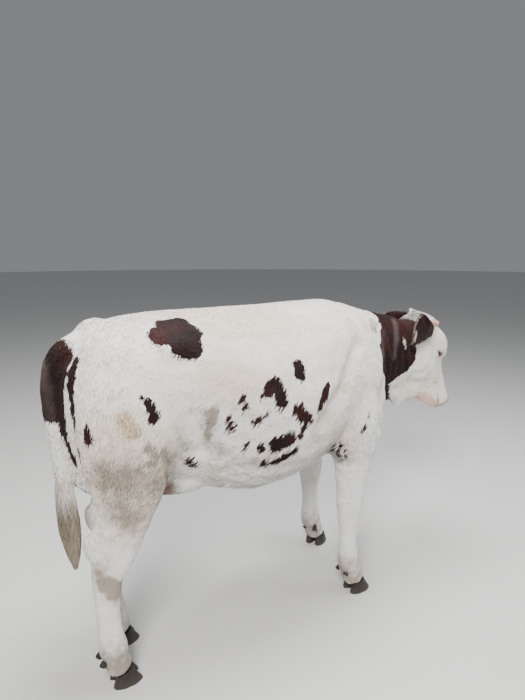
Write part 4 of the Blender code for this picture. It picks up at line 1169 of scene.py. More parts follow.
def lock_tree(material):
    """Puts one tapered lock on each seed, bends it by the seed's own values and gives it its patch."""
    tree = bpy.data.node_groups.new("Locks of hair", "GeometryNodeTree")
    tree.interface.new_socket("Seeds", in_out="INPUT", socket_type="NodeSocketGeometry")
    for label, kind, default in LOCK_INPUTS:
        socket = tree.interface.new_socket(label, in_out="INPUT", socket_type=f"NodeSocket{kind}")
        socket.default_value = default
    tree.interface.new_socket("Material", in_out="INPUT", socket_type="NodeSocketMaterial")
    tree.interface.new_socket("Locks", in_out="OUTPUT", socket_type="NodeSocketGeometry")
    nodes = Nodes(tree)
    given, out = nodes.add("NodeGroupInput"), nodes.add("NodeGroupOutput")

    def named(label, kind="FLOAT"):
        node = nodes.add("GeometryNodeInputNamedAttribute", {"data_type": kind})
        node.inputs["Name"].default_value = label
        return node.outputs["Attribute"]

    def store(geometry, label, kind, domain, value):
        settings = {"data_type": kind, "domain": domain}
        node = nodes.add("GeometryNodeStoreNamedAttribute", settings, Geometry=geometry, Value=value)
        node.inputs["Name"].default_value = label
        return node.outputs["Geometry"]

    cone = nodes.add("GeometryNodeMeshCone", {"fill_type": "NONE"}, Depth=1.0)
    nodes.put(cone, "Vertices", given.outputs["Sides"])
    nodes.put(cone, "Side_Segments", given.outputs["Segments"])
    nodes.put(cone, "Radius_Top", 0.0)
    nodes.put(cone, "Radius_Bottom", 1.0)
    spot = nodes.split(nodes.add("GeometryNodeInputPosition"))
    swell = nodes.plus(spot["Z"], 1.0)
    thin = nodes.times(swell, given.outputs["Flatness"])
    shaped = nodes.join(nodes.times(spot["X"], thin), nodes.times(spot["Y"], swell), spot["Z"])
    turn = nodes.math("ARCTAN2", spot["Y"], nodes.plus(spot["X"], 0.001))
    round_way = nodes.times_plus(turn, 0.159, 0.5)
    unit_lock = store(cone.outputs["Mesh"], "along", "FLOAT", "POINT", spot["Z"])
    unit_lock = store(unit_lock, "round", "FLOAT", "POINT", round_way)
    unit_lock = nodes.add("GeometryNodeSetPosition", None, Geometry=unit_lock, Position=shaped).outputs[0]

    stood = nodes.add("FunctionNodeAlignRotationToVector", {"axis": "Z"}, Vector=named("aim", "FLOAT_VECTOR"))
    settings = {"axis": "X", "pivot_axis": "Z"}
    turned = nodes.add("FunctionNodeAlignRotationToVector", settings, Rotation=stood)
    nodes.put(turned, "Vector", named("out", "FLOAT_VECTOR"))
    wide = named("wide")
    size = nodes.join(wide, wide, named("reach"))
    points = nodes.add("GeometryNodeInstanceOnPoints", None, Points=given.outputs["Seeds"])
    for label, value in (("Instance", unit_lock), ("Rotation", turned), ("Scale", size)):
        nodes.put(points, label, value)
    real = nodes.add("GeometryNodeRealizeInstances", None, Geometry=points)
    along = named("along")
    sag = nodes.vector("SCALE", named("droop", "FLOAT_VECTOR"), Scale=nodes.times(along, along))
    wave = nodes.math("SINE", nodes.times_plus(along, 7.5, named("phase")))
    wave = nodes.times(wave, nodes.times(along, named("curl")))
    sway = nodes.vector("SCALE", named("beside", "FLOAT_VECTOR"), Scale=wave)
    moved = nodes.vector("ADD", sag, in_1=sway)
    bent = nodes.add("GeometryNodeSetPosition", None, Geometry=real, Offset=moved)
    patch = nodes.split(named("patch", "FLOAT_VECTOR"))
    across = nodes.times_plus(named("round"), given.outputs["Patch"], patch["X"])
    up = nodes.times_plus(along, given.outputs["Patch"], patch["Y"])
    charted = store(bent.outputs[0], "OFBake", "FLOAT2", "CORNER", nodes.join(across, up))
    dressed = nodes.add("GeometryNodeSetMaterial", None, Geometry=charted)
    nodes.put(dressed, "Material", given.outputs["Material"])
    nodes.put(out, "Locks", dressed)
    return tree


SKIN_SHARE = 0.90  # how far a tuft is shaded as the skin under it


def soften(mesh):
    """Shades every tuft partly as the skin under it, so that the coat lies quietly."""
    skin = np.empty(len(mesh.vertices) * 3, np.float32)
    mesh.attributes["out"].data.foreach_get("vector", skin)
    mixed = unit(skin.reshape(-1, 3) * SKIN_SHARE + directions(mesh) * (1 - SKIN_SHARE))
    mesh.normals_split_custom_set_from_vertices(mixed.tolist())


# Fields that only shape a lock, and are removed once it stands
SPENT = ("aim", "out", "reach", "wide", "droop", "patch", "curl", "phase", "beside", "round")


def grow(name, seeds, tree, material, sides=3, segments=2, flatness=0.36):
    """A finished piece of hair with one lock on each seed."""
    count = len(seeds["place"])
    mesh = bpy.data.meshes.new(name)
    mesh.vertices.add(count)
    put_places(mesh, seeds["place"])
    for label in (*SPENT[:-1], "root", "own", *FIELDS):
        give(mesh, label, seeds[label])
    made = link(bpy.data.objects.new(name, mesh))
    locks = made.modifiers.new("Locks of hair", "NODES")
    locks.node_group = tree
    wanted = {"Sides": sides, "Segments": segments, "Flatness": flatness, "Material": material}
    for socket in tree.interface.items_tree:
        if socket.in_out == "INPUT" and socket.name in wanted:
            locks[socket.identifier] = wanted[socket.name]
    made.update_tag()
    bake_modifiers(made)
    soften(made.data)
    for label in SPENT:
        layer = made.data.attributes.get(label)
        if layer:
            made.data.attributes.remove(layer)
    return made


def scatter(mesh, count, rng, dense):
    """Random places on a mesh and the skin's direction there; dense weighs each of its points."""
    mesh.calc_loop_triangles()
    corners = np.empty(len(mesh.loop_triangles) * 3, np.int32)
    mesh.loop_triangles.foreach_get("vertices", corners)
    corners = corners.reshape(-1, 3)
    points, normals = places(mesh), directions(mesh)
    a, b, c = (points[corners[:, k]] for k in range(3))
    weight = np.linalg.norm(np.cross(b - a, c - a), axis=1) * dense[corners].mean(1)
    picked = rng.choice(len(corners), count, p=weight / weight.sum())
    s, t = np.sqrt(rng.random(count)), rng.random(count)
    shares = np.stack((1 - s, s * (1 - t), s * t), 1)
    place = sum(shares[:, k, None] * points[corners[picked, k]] for k in range(3))
    normal = unit(sum(shares[:, k, None] * normals[corners[picked, k]] for k in range(3)))
    return place, normal


SUNK = 0.0006  # how deep the root of a tuft lies in the skin


def lock_seeds(place, root, rng, patch, looks, **shape):
    """Seeds of locks with the coat's markings at their roots, and a wave and shade of their own."""
    seeds = {"place": place, "root": root, "patch": patch, **shape}
    seeds["phase"] = rng.uniform(0, 2 * math.pi, len(place))
    seeds["own"] = rng.random(len(place))
    return {**seeds, **markings(root), **looks}


def lay(place, normal, flow, lift, reach, wide, rng, **more):
    """Seeds of locks that lie along a flow over a surface, lifted by an angle in degrees."""
    count = len(place)
    along = unit(flow - (flow * normal).sum(1, keepdims=True) * normal)
    turn = np.radians(rng.normal(0, more.get("spread", 9), count))
    side = np.cross(normal, along)
    along = along * np.cos(turn)[:, None] + side * np.sin(turn)[:, None]
    side = unit(np.cross(normal, along))
    rise = np.radians(np.asarray(lift) * rng.uniform(0.7, 1.3, count))
    aim = along * np.cos(rise)[:, None] + normal * np.sin(rise)[:, None]
    reach = np.asarray(reach) * rng.uniform(0.75, 1.2, count)
    droop = -normal * (reach * np.sin(rise) * more.get("sag", 0.92))[:, None]
    wide = np.asarray(wide) * rng.uniform(0.75, 1.25, count)
    curl = np.asarray(more.get("curl", 0.0012)) * rng.uniform(0.3, 1.0, count)
    looks = more.get("looks", {})
    shape = {"aim": aim, "out": normal, "beside": side, "reach": reach, "wide": wide}
    sunk = place - normal * SUNK
    return lock_seeds(sunk, place, rng, more["patch"], looks, **shape, droop=droop, curl=curl)


def chart_round(place, normal, axis_point, along_axis, low, high, window=(0, 1)):
    """A patch for each place by the way round an upright or level axis, and the way along it."""
    gap = place - np.array(axis_point)
    if along_axis == "x":
        length, one, two, tip = gap[:, 0], gap[:, 1], gap[:, 2], normal[:, 0]
    else:
        length, one, two, tip = gap[:, 2], gap[:, 0], gap[:, 1], normal[:, 2]
    along = (length + 0.12 * tip - low) / (high - low)
    angle = np.arctan2(two, one) / (2 * math.pi) + 0.5
    width = window[1] - window[0]
    u = window[0] + width * (0.01 + 0.97 * angle)
    return np.stack((u, 0.01 + 0.97 * np.clip(along, 0, 1), np.zeros(len(u))), 1)


WHORL = (0.150, 0.0, 0.0)  # the middle of the forehead, which its hair turns away from


def lie_of_the_coat(place, owner):
    """The way the hair lies at each place, by the part of the body it is on."""
    x, y, z = place.T
    flow = np.empty_like(place)
    flow[:] = (-0.85, 0.0, -0.42)
    under = 1 - smooth(z, 0.62, 0.80)
    flow[:, 2] -= 0.8 * smooth(np.abs(y), 0.10, 0.26)
    flow[:, 1] += np.sign(y) * 0.25 * smooth(z, 1.05, 1.22)
    flow[:, 0] += 0.5 * smooth(-x, 0.66, 0.82)
    flow[:, 2] -= 0.9 * smooth(-x, 0.66, 0.82)
    flow[:, 1] *= 1 - under
    neck = belongs(owner, "neck")
    flow[neck] = (-0.55, 0.0, -0.85)
    legs = belongs(owner, *LEG_NODES)
    flow[legs] = (-0.22, 0.0, -1.0)
    flow[belongs(owner, "tail")] = (-0.1, 0.0, -1.0)
    head = belongs(owner, "head")
    local = to_head(place)
    away = local - np.array(WHORL)
    face = np.stack((away[:, 0] * 1.4 + 0.035, away[:, 1] * 0.9, np.minimum(away[:, 2], 0) * 0.25), 1)
    cheek = smooth(np.abs(local[:, 1]), 0.055, 0.085)[:, None]
    face = face * (1 - cheek) + np.array((-0.03, 0.0, -0.10)) * cheek
    snout = smooth(local[:, 0], 0.28, 0.36)[:, None]
    forward = np.stack((np.full(len(local), 0.06), local[:, 1] * 0.8, local[:, 2] * 0.3 - 0.03), 1)
    face = face * (1 - snout) + forward * snout
    flow[head] = from_head(face[head])
    wander = np.stack([rough(place, 0.09, seed) for seed in (1.0, 5.0, 9.0)], 1)
    return unit(flow) + 0.22 * wander


HEAD_SHARE, HOOF_SHARE, HOOF_TOP = 2.7, 0.15, 0.055  # how close the tufts stand there, and its height
BY_EYE = 0.05  # how far round an eye its lids keep the tufts away


def coat_density(mesh):
    """How close the tufts stand at each point of the skin."""
    points = places(mesh)
    dense = 1 + 0.6 * (1 - smooth(points[:, 2], 0.56, 0.78))
    dense = np.where(on_head(points), HEAD_SHARE, dense)
    bare = np.empty(len(points), np.float32)
    mesh.attributes["bare"].data.foreach_get("value", bare)
    dense = dense * (1 - smooth(bare, 0.02, 0.5))
    for side in (RIGHT, LEFT):
        zone, reach = eye_zone(points, side)
        beside = (zone[:, 2] > 0) & (np.linalg.norm(zone, axis=1) < BY_EYE)
        dense = dense * np.where(beside, smooth(reach, 1.9, 2.2), 1)
    return np.where(points[:, 2] < HOOF_TOP, HOOF_SHARE, dense)


# Seeds of the random draws, and how many locks the long hair has
COAT_SEED, SWITCH_SEED, POLL_SEED, SHAG_SEED, EAR_SEED, LASH_SEED = 7, 11, 13, 17, 19, 23
SWITCH_LOCKS, POLL_LOCKS, SHAG_LOCKS, LASHES = 2300, 1100, 5200, 34
EAR_BACK, EAR_INSIDE, EAR_RIM, EAR_STRAW = 2300, 1250, 900, 90

# Reach and width of the tufts as shares of the settings, and their lift in degrees
TUFT_REACH, SHAG_REACH, UNDER_REACH, UNEVEN_REACH = 0.62, 0.42, 0.35, 0.25
LEG_REACH, LEG_SHAG, NECK_REACH, HEAD_REACH, FACE_SHORTER, SNOUT_SHORTER = 0.42, 0.35, 0.60, 0.50, 0.18, 0.35
TUFT_WIDE, SHAG_WIDER, LEG_WIDE, HEAD_WIDE, SNOUT_SLIMMER = 0.74, 0.26, 0.66, 0.52, 0.25
TUFT_LIFT, SHAG_LIFT, LEG_LIFT, HEAD_LIFT = 12.0, 7.0, 13.0, 14.0

# The lengths that the coat's pieces of the trunk take up, and the lines that the patches run round
QUARTERS = (("rump", -1.0, -0.45), ("flank", -0.45, -0.05), ("shoulder", -0.05, 1.0))
TRUNK_AXIS, NECK_AXIS, TAIL_AXIS = (0, 0, 0.88), (0, -0.02, 0.98), (-0.90, -0.01, 0)


def grow_coat(settings, tree, material):
    """The short coat over the whole skin, in pieces by the part of the body."""
    rng = np.random.default_rng(COAT_SEED)
    skin = bpy.data.objects["skin"].data
    place, normal = scatter(skin, settings.tuft_count, rng, coat_density(skin))
    owner = owners(place)
    local = to_head(place)
    x, y, z = place.T
    flow = lie_of_the_coat(place, owner)
    head = belongs(owner, "head")
    face = smooth(local[:, 0], -0.02, 0.10) * smooth(local[:, 2], -0.26, -0.20)
    shaggy = np.maximum(1 - smooth(z, 0.90, 1.08), 0.35 * smooth(-x, 0.55, 0.80))
    reach = settings.tuft_length * (TUFT_REACH + SHAG_REACH * shaggy)
    under = UNDER_REACH * (1 - smooth(z, 0.66, 0.86)) * (z > 0.5)
    reach *= 1 + under + UNEVEN_REACH * rough(place, 0.12, 2.0)
    slim = np.where(belongs(owner, *LEG_NODES), 1 - smooth(z, 0.58, 0.82), z < 0.60)
    short = settings.tuft_length * (LEG_REACH + LEG_SHAG * smooth(z, 0.30, 0.60))
    reach = reach + (short - reach) * slim
    reach = np.where(belongs(owner, "neck"), settings.tuft_length * NECK_REACH, reach)
    reach = np.where(head, settings.tuft_length * (HEAD_REACH - FACE_SHORTER * face), reach)
    snout = smooth(local[:, 0], 0.30, 0.42) * head
    reach = reach * (1 - SNOUT_SHORTER * snout)
    broad = TUFT_WIDE + SHAG_WIDER * shaggy
    broad = np.where(head, HEAD_WIDE, broad + (LEG_WIDE - broad) * slim) * (1 - SNOUT_SLIMMER * snout)
    lift = TUFT_LIFT + SHAG_LIFT * shaggy
    lift = np.where(head, HEAD_LIFT, lift + (LEG_LIFT - lift) * slim)
    wide = settings.tuft_width * broad
    seeds = lay(place, normal, flow, lift, reach, wide, rng, patch=np.zeros_like(place))
    pieces = []

    def add(name, keep, chart, *extent):
        if keep.sum() == 0:
            raise RuntimeError(f"no tufts fell on {name}")
        some = {field: values[keep] for field, values in seeds.items()}
        some["patch"] = chart(place[keep], normal[keep], *extent)
        pieces.append(grow(name, some, tree, material))

    for label, side in SIDES.items():
        half = belongs(owner, "torso") & (np.sign(y + 1e-9) == side)
        for part, low, high in QUARTERS:
            some = half & (x >= low) & (x < high)
            ends = max(low, -0.96) - 0.13, min(high, 0.60) + 0.13
            add(f"coat_{part}_{label}", some, chart_round, TRUNK_AXIS, "x", *ends)
    add("coat_neck", belongs(owner, "neck"), chart_round, NECK_AXIS, "x", 0.20, 0.80)
    add("coat_head", head, chart_head)
    for leg in LEGS:
        add(f"coat_leg_{leg}", belongs(owner, f"leg_{leg}"), chart_leg, leg)
    add("coat_tail", belongs(owner, "tail"), chart_round, TAIL_AXIS, "z", 0.60, 1.25)
    return [finish_piece(piece, material, "coat_white") for piece in pieces]


def chart_head(place, normal):
    return chart_round(to_head(place), normal @ np.array(HEAD_SPIN), (0, 0, -0.09), "x", -0.10, 0.50)


def chart_leg(place, normal, leg):
    low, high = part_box(f"leg_{leg}")
    axis = ((low.x + high.x) / 2, (low.y + high.y) / 2, 0)
    return chart_round(place, normal, axis, "z", low.z - 0.05, high.z + 0.05)


def strand_seeds(place, aim, normal, reach, wide, droop, rng, patch, curl, looks):
    """Seeds of long locks with their own way and droop."""
    count = len(place)
    aim = unit(aim)
    side = unit(np.cross(normal, aim) + 1e-6)
    wide = np.asarray(wide) * rng.uniform(0.7, 1.3, count)
    curl = curl * rng.uniform(0.4, 1.2, count)
    shape = {"aim": aim, "out": unit(np.cross(aim, side)), "beside": side, "reach": reach, "wide": wide}
    return lock_seeds(place, place, rng, patch, looks, **shape, droop=droop, curl=curl)


def plain_looks(count, **values):
    """The coat's fields, all 0 but those that are given."""
    found = {name: np.zeros(count) for name in FIELDS}
    found["brown"] = np.full(count, -BROWN_DEPTH)
    for name, value in values.items():
        found[name] = np.full(count, float(value)) if np.ndim(value) == 0 else value
    return found


SWITCH_TOP, SWITCH_TIP = np.array((-0.900, -0.008, 0.700)), np.array((-0.883, -0.028, 0.408))
SWITCH_WIDTH = ((-0.15, 0.0, 0.35, 0.60, 0.82, 1.0), (0.020, 0.023, 0.031, 0.032, 0.017, 0.003))


def grow_switch(tree, material):
    """The long, soiled hair at the end of the tail."""
    rng = np.random.default_rng(SWITCH_SEED)
    count = SWITCH_LOCKS
    along = rng.random(count) * 0.86 - 0.14
    turn = rng.uniform(0, 2 * math.pi, count)
    out = np.stack((np.cos(turn), np.sin(turn), np.zeros(count)), 1)
    depth = 0.72 + 0.28 * rng.random(count)
    start = np.interp(along, *SWITCH_WIDTH) * depth
    end = np.clip(along + rng.uniform(0.20, 0.42, count), 0.1, 1.0)
    finish = np.interp(end, *SWITCH_WIDTH) * (depth + 0.12)
    axis = SWITCH_TIP - SWITCH_TOP
    place = SWITCH_TOP + along[:, None] * axis + out * start[:, None]
    aim = SWITCH_TOP + end[:, None] * axis + out * finish[:, None] - place
    reach = np.linalg.norm(aim, axis=1)
    aim = aim + out * 0.16 * reach[:, None]
    droop = -out * 0.16 * reach[:, None]
    patch = np.stack((turn / (2 * math.pi) * 0.97, (along + 0.14) / 0.86 * 0.95 + 0.02, np.zeros(count)), 1)
    lower = 1 - smooth(place[:, 2], 0.64, 0.73)
    looks = plain_looks(count, dirt=0.15 + 1.3 * lower, straw=0.25 * lower, buff=0.6)
    seeds = strand_seeds(place, aim, out, reach, 0.0017, droop, rng, patch, 0.008, looks)
    made = grow("switch_hair", seeds, tree, material, 3, 6, 0.5)
    return finish_piece(made, material, "tail_hair")


def build_switch_core(material):
    """The solid middle of the tail's switch, under its hair."""
    rows = []
    for k in range(16):
        along = k / 15
        share = 1.02 * along - 0.10
        centre = SWITCH_TOP + (SWITCH_TIP - SWITCH_TOP) * share
        thick = float(np.interp(share, *SWITCH_WIDTH)) * 0.80 * math.sqrt(max(1 - along**6, 0.02))
        rows.append([
            Vector(centre.tolist()) + Vector((math.cos(t), math.sin(t), 0)) * thick
            for t in (2 * math.pi * j / 20 for j in range(20))
        ])
    made = grid_mesh("switch_core", rows, closed=True)
    close_ends(made)
    count = len(made.data.vertices)
    # An along of 0.2 paints the core darker, as painted shade under the switch's hair
    give_markings(made.data, 0.2, **plain_looks(count, dirt=1.0, buff=1.0))
    return finish_piece(made, material, "tail_hair", "tail_switch")


def grow_poll(skin, tree, material):
    """The tuft between the horns, which falls over the forehead and back over the neck."""
    rng = np.random.default_rng(POLL_SEED)
    points = places(skin)
    local = to_head(points)
    gap = np.hypot((local[:, 0] - 0.012) / 0.045, local[:, 1] / 0.050)
    dense = (1 - smooth(gap, 0.8, 1.2)) * (local[:, 2] > -0.09) * (local[:, 0] > -0.06)
    place, normal = scatter(skin, POLL_LOCKS, rng, dense)
    at = to_head(place)
    flow = np.stack((np.full(len(at), -0.5), 2.0 * at[:, 1], np.full(len(at), -1.0)), 1)
    flow = flow @ np.array(HEAD_SPIN).T
    patch = np.stack((0.5 + at[:, 1] * 6, 0.5 + at[:, 0] * 6, np.zeros(len(at))), 1)
    reach = 0.030 + 0.022 * rng.random(len(at))
    normal = unit(place - np_points([POLL + HEAD_SPIN @ Vector((0.085, 0, -0.060))]))
    seeds = lay(place, normal, flow, 9, reach, 0.0015, rng, patch=patch, curl=0.003, spread=12, sag=1.0)
    made = grow("poll_tuft", seeds, tree, material, 3, 4, 0.5)
    return finish_piece(made, material, "coat_white")


def grow_fringes(skin, tree, material):
    """Longer hair at the elbows, belly, brisket and ribs."""
    rng = np.random.default_rng(SHAG_SEED)
    points = places(skin)
    x, _, z = points.T
    belly = smooth(x, -0.55, -0.35) * (1 - smooth(x, 0.22, 0.32)) * (1 - smooth(z, 0.66, 0.80)) * (z > 0.5)
    brisket = smooth(x, 0.25, 0.33) * (1 - smooth(z, 0.74, 0.86)) * (z > 0.55)
    body = to_head(points)[:, 2] < -0.30
    ribs = 0.2 * band(x, (-0.45, -0.30), (0.15, 0.25)) * (z > 0.6) * (z < 1.0)
    place, normal = scatter(skin, SHAG_LOCKS, rng, np.maximum(belly, brisket) * body + ribs)
    keep = ~belongs(owners(place), *LEG_NODES)
    place, normal = place[keep], normal[keep]
    flow = np.tile((-0.55, 0.0, -0.85), (len(place), 1))
    reach = 0.036 + 0.012 * rough(place, 0.1)
    patch = chart_round(place, normal, TRUNK_AXIS, "x", -0.95, 0.60)
    seeds = lay(place, normal, flow, 20, reach, 0.0023, rng, patch=patch, curl=0.004, spread=16, sag=0.75)
    made = grow("coat_shag", seeds, tree, material, 3, 3, 0.36)
    return finish_piece(made, material, "coat_white")


def grow_ear_hair(side, label, tree, material):
    """Short hair on the back of an ear, longer hair along its rim and inside."""
    rng = np.random.default_rng(EAR_SEED + side)
    turn = ear_matrix(side)
    spin = np.array(turn.to_3x3())
    place, normal, flow, reach, wide, lift, pale = [], [], [], [], [], [], []

    def put(along, across, out, way, long_, wide_, lift_, pale_):
        place.append(ear_point(side, along, across, -out * EAR_THICK / 2))
        normal.append(ear_normal(side, along, across) * -out)
        flow.append(way)
        reach.append(long_)
        wide.append(wide_)
        lift.append(lift_)
        pale.append(pale_)

    for _ in range(EAR_BACK):
        along, across = rng.uniform(0.01, 0.99), rng.uniform(-1, 1)
        put(along, across, 1, (1.0, 0.35 * across, 0.0), 0.014, 0.0014, 13, 0.0)
    for _ in range(EAR_INSIDE):
        along, across = rng.uniform(0.03, 0.97), rng.uniform(-0.95, 0.95)
        put(along, across, -1, (1.0, -0.5 * across, 0.0), 0.017, 0.0012, 14, 0.0)
    for _ in range(EAR_RIM):
        along, edge = rng.uniform(0.06, 0.98), rng.choice((-1, 1))
        fair = 1.0 if edge * side > 0 and along > 0.20 and rng.random() < 0.35 else 0.0
        put(along, edge * rng.uniform(0.86, 1.0), -1, (1.0, 0.25 * edge, 0.15), 0.028, 0.0007, 13, fair)
    for _ in range(EAR_STRAW):
        along, across = rng.uniform(0.62, 0.84), side * rng.uniform(0.50, 0.85)
        put(along, across, -1, (1.0, -0.7 * side, 0.2), 0.030, 0.0007, 20, 1.0)
    place = from_plain(place, turn)
    count = len(place)
    normal = unit(np_points(normal) @ spin.T)
    flow = np_points(flow) @ spin.T
    pale = np.array(pale)
    brown = np.where(pale > 0.5, -BROWN_DEPTH, EAR_BROWN)
    looks = plain_looks(count, brown=brown, straw=pale * 0.75, buff=pale)
    u = 0.02 + 0.95 * np.arange(count) / count
    patch = np.stack((u, (np.arange(count) * 0.618) % 1.0 * 0.95 + 0.02, np.zeros(count)), 1)
    lift, reach, wide = np.array(lift), np.array(reach), np.array(wide)
    seeds = lay(place, normal, flow, lift, reach, wide, rng, patch=patch, looks=looks)
    made = grow(f"coat_ear_{label}", seeds, tree, material)
    return finish_piece(made, material, "coat_dark")


def from_plain(points, matrix):
    """Points of a matrix's own frame in the part's frame."""
    whole = np.array(matrix)
    return np_points(points) @ whole[:3, :3].T + whole[:3, 3]


def grow_lashes(tree, material):
    """Lashes of both eyes."""
    rng = np.random.default_rng(LASH_SEED)
    place, aim, normal, reach = [], [], [], []
    for side in (RIGHT, LEFT):
        spin = eye_matrix(side)
        turn = spin.to_3x3()
        for k in range(LASHES):
            share = -0.90 + 1.80 * k / (LASHES - 1) + rng.uniform(-0.015, 0.015)
            x = LID_HALF[0] * share
            y = LID_HALF[1] * math.sqrt(max(1 - share * share, 0)) + 0.0008
            z = math.sqrt((EYE_RADIUS + 0.003) ** 2 - x * x - y * y)
            place.append(spin @ Vector((x, y, z)))
            aim.append(turn @ Vector((0.35 * share - 0.20 * side, 0.95 + rng.uniform(-0.1, 0.1), 0.75)))
            normal.append(turn @ Vector((0, 1, 0)))
            reach.append(0.027 * (1 - 0.35 * share * share) * rng.uniform(0.75, 1.15))
    place, aim, normal = (np_points(found) for found in (place, aim, normal))
    count = len(place)
    droop = np.tile(np.array(HEAD_SPIN @ Vector((0.001, 0, -0.004))), (count, 1))
    patch = np.stack((0.02 + 0.95 * np.arange(count) / count, np.full(count, 0.5), np.zeros(count)), 1)
    looks = plain_looks(count, buff=0.6)
    seeds = strand_seeds(place, aim, normal, np.array(reach), 0.00038, droop, rng, patch, 0.0004, looks)
    made = grow("lashes", seeds, tree, material, 3, 4, 1.0)
    return finish_piece(made, material, "coat_white")


# Colours of the bare parts, which the settings leave alone
MUZZLE_PINK, MUZZLE_SPOT = (0.47, 0.27, 0.235, 1), (0.20, 0.125, 0.115, 1)
# The second colour here is the near-black of painted shade in the nostrils and along the mouth, also used for
# the lids' dark rim
SKIN_PINK, PAINTED_HOLE_SHADE = (0.50, 0.34, 0.28, 1), (0.025, 0.012, 0.010, 1)
IRIS_EDGE, PUPIL, EYE_RIM = (0.034, 0.016, 0.008, 1), (0.004, 0.004, 0.006, 1), (0.30, 0.21, 0.17, 1)
HORN_DARK = (0.30, 0.17, 0.12, 1)
HOOF_DUST, HOOF_EARTH = (0.034, 0.027, 0.022, 1), (0.045, 0.036, 0.029, 1)


def skin_material(groups):
    """The skin under the coat: the markings again, bare wet skin at the muzzle and lids, near-black painted
    shade in the nostrils and along the mouth, and the lids' dark rim.
    """
    made, nodes, shader = principled(
        "Skin", Roughness=0.62, Specular_IOR_Level=0.10, Sheen_Weight=0.04, Coat_Roughness=0.35
    )
    coat = group_node(nodes, groups["coat"], Edge=0.009)
    root = nodes.attribute("root", "Vector")
    spotty = nodes.ramp(nodes.noise(root, 90.0, 4.0, 0.65), 0.40, 0.62)
    # Painted shade: near-black where the hole field says, in the nostrils, along the mouth and on the lids'
    # rim
    muzzle = nodes.mix(nodes.attribute("hole"), nodes.mix(spotty, MUZZLE_PINK, MUZZLE_SPOT), PAINTED_HOLE_SHADE)
    bare = nodes.attribute("bare")
    pinkish = nodes.ramp(coat.outputs["Brownness"], 0.0, 1.0, 0.10, 0.0)
    haired = nodes.mix(pinkish, coat.outputs["Color"], SKIN_PINK)
    nodes.put(shader, "Base Color", nodes.mix(bare, haired, muzzle))
    nodes.put(shader, "Roughness", nodes.ramp(bare, 0.2, 0.9, 0.66, 0.42))
    nodes.put(shader, "Coat Weight", nodes.times(bare, 0.35))
    cells = nodes.add("ShaderNodeTexVoronoi", {"feature": "SMOOTH_F1"}, Vector=root, Scale=420.0)
    grain = nodes.times(cells.outputs["Distance"], bare)
    hairy = nodes.times(streaks_on(nodes, groups).outputs["Height"], nodes.minus(1.0, bare))
    nodes.bump(shader, nodes.plus(grain, nodes.times(hairy, 1.6)), 0.45, 0.0010)
    return made


def eye_material(settings):
    """A dark iris with a level pupil under a wet cornea."""
    made, nodes, shader = principled("Eye", Roughness=0.06, Coat_Weight=0.6, Coat_Roughness=0.03)
    local = nodes.attribute("local", "Vector")
    spot = nodes.split(local)
    width = nodes.vector("LENGTH", nodes.join(spot["X"], nodes.times(spot["Y"], 2.1))).outputs["Value"]
    reach = nodes.vector("LENGTH", nodes.join(spot["X"], spot["Y"])).outputs["Value"]
    iris = nodes.mix(nodes.noise(local, 9.0, 4.0, 0.7), colour(settings.eye), IRIS_EDGE)
    seen = nodes.mix(nodes.ramp(width, 0.40, 0.47), PUPIL, iris)
    nodes.put(shader, "Base Color", nodes.mix(nodes.ramp(reach, 0.70, 0.80), seen, EYE_RIM))
    return made


def horn_material(settings):
    made, nodes, shader = principled("Horn", Roughness=0.48)
    root = nodes.attribute("root", "Vector")
    nodes.put(shader, "Base Color", nodes.mix(nodes.noise(root, 60.0, 4.0), colour(settings.horn), HORN_DARK))
    nodes.bump(shader, nodes.noise(root, 320.0, 3.0), 0.5, 0.001)
    return made


def hoof_material(settings):
    made, nodes, shader = principled("Hoof", Roughness=0.5, Specular_IOR_Level=0.3)
    root = nodes.attribute("root", "Vector")
    height = nodes.split(root)["Z"]
    dusty = nodes.mix(nodes.noise(root, 45.0, 4.0), colour(settings.hoof), HOOF_DUST)
    nodes.put(shader, "Base Color", nodes.mix(nodes.ramp(height, 0.0, 0.05), HOOF_EARTH, dusty))
    rings = nodes.math("SINE", nodes.times(height, 900.0))
    relief = nodes.times_plus(nodes.noise(root, 260.0, 3.0), 1.6, nodes.times(rings, 0.25))
    nodes.bump(shader, relief, 0.5, 0.0008)
    return made


def material(name):
    """A material by its name, with all of them made on the first call."""
    if not bpy.data.materials.get("Skin"):
        settings = bpy.context.scene.heifer
        groups = {"coat": coat_group(settings), "streaks": grain_group()}
        coat_material(groups)
        skin_material(groups)
        eye_material(settings)
        horn_material(settings)
        hoof_material(settings)
        lock_tree(None)
    return bpy.data.materials[name]


def shared_tree():
    material("Coat")
    return bpy.data.node_groups["Locks of hair"]


class HEIFER_OT_skin(bpy.types.Operator):
    """Builds the skin, with its folds, nostrils and mouth"""

    bl_idname = "heifer.skin"
    bl_label = "Skin"

    def execute(self, context):
        build_skin(context.scene.heifer, material("Skin"))
        return {"FINISHED"}


class HEIFER_OT_head(bpy.types.Operator):
    """Builds the eyes, lids, horn buds and ears"""

    bl_idname = "heifer.head"
    bl_label = "Eyes, lids, horns and ears"

    def execute(self, context):
        for label, side in SIDES.items():
            build_eye(side, f"eyeball_{label}", f"eye_{label}", material("Eye"))
            build_lids(side, f"eyelids_{label}", material("Skin"))
            build_horn(side, f"horn_bud_{label}", f"horn_{label}", material("Horn"))
            build_ear(side, f"ear_flap_{label}", f"ear_{label}", material("Skin"))
        return {"FINISHED"}


class HEIFER_OT_feet(bpy.types.Operator):
    """Builds the claws and dewclaws, and the udder"""

    bl_idname = "heifer.feet"
    bl_label = "Claws and udder"

    def execute(self, context):
        for leg in LEGS:
            for label in SIDES:
                build_hoof(f"claw_{leg}_{label}", f"hoof_{leg}_{label}", material("Hoof"), 0.003)
                build_hoof(f"dewclaw_{leg}_{label}", f"spur_{leg}_{label}", material("Hoof"), 0.002)
        build_udder(material("Skin"))
        return {"FINISHED"}


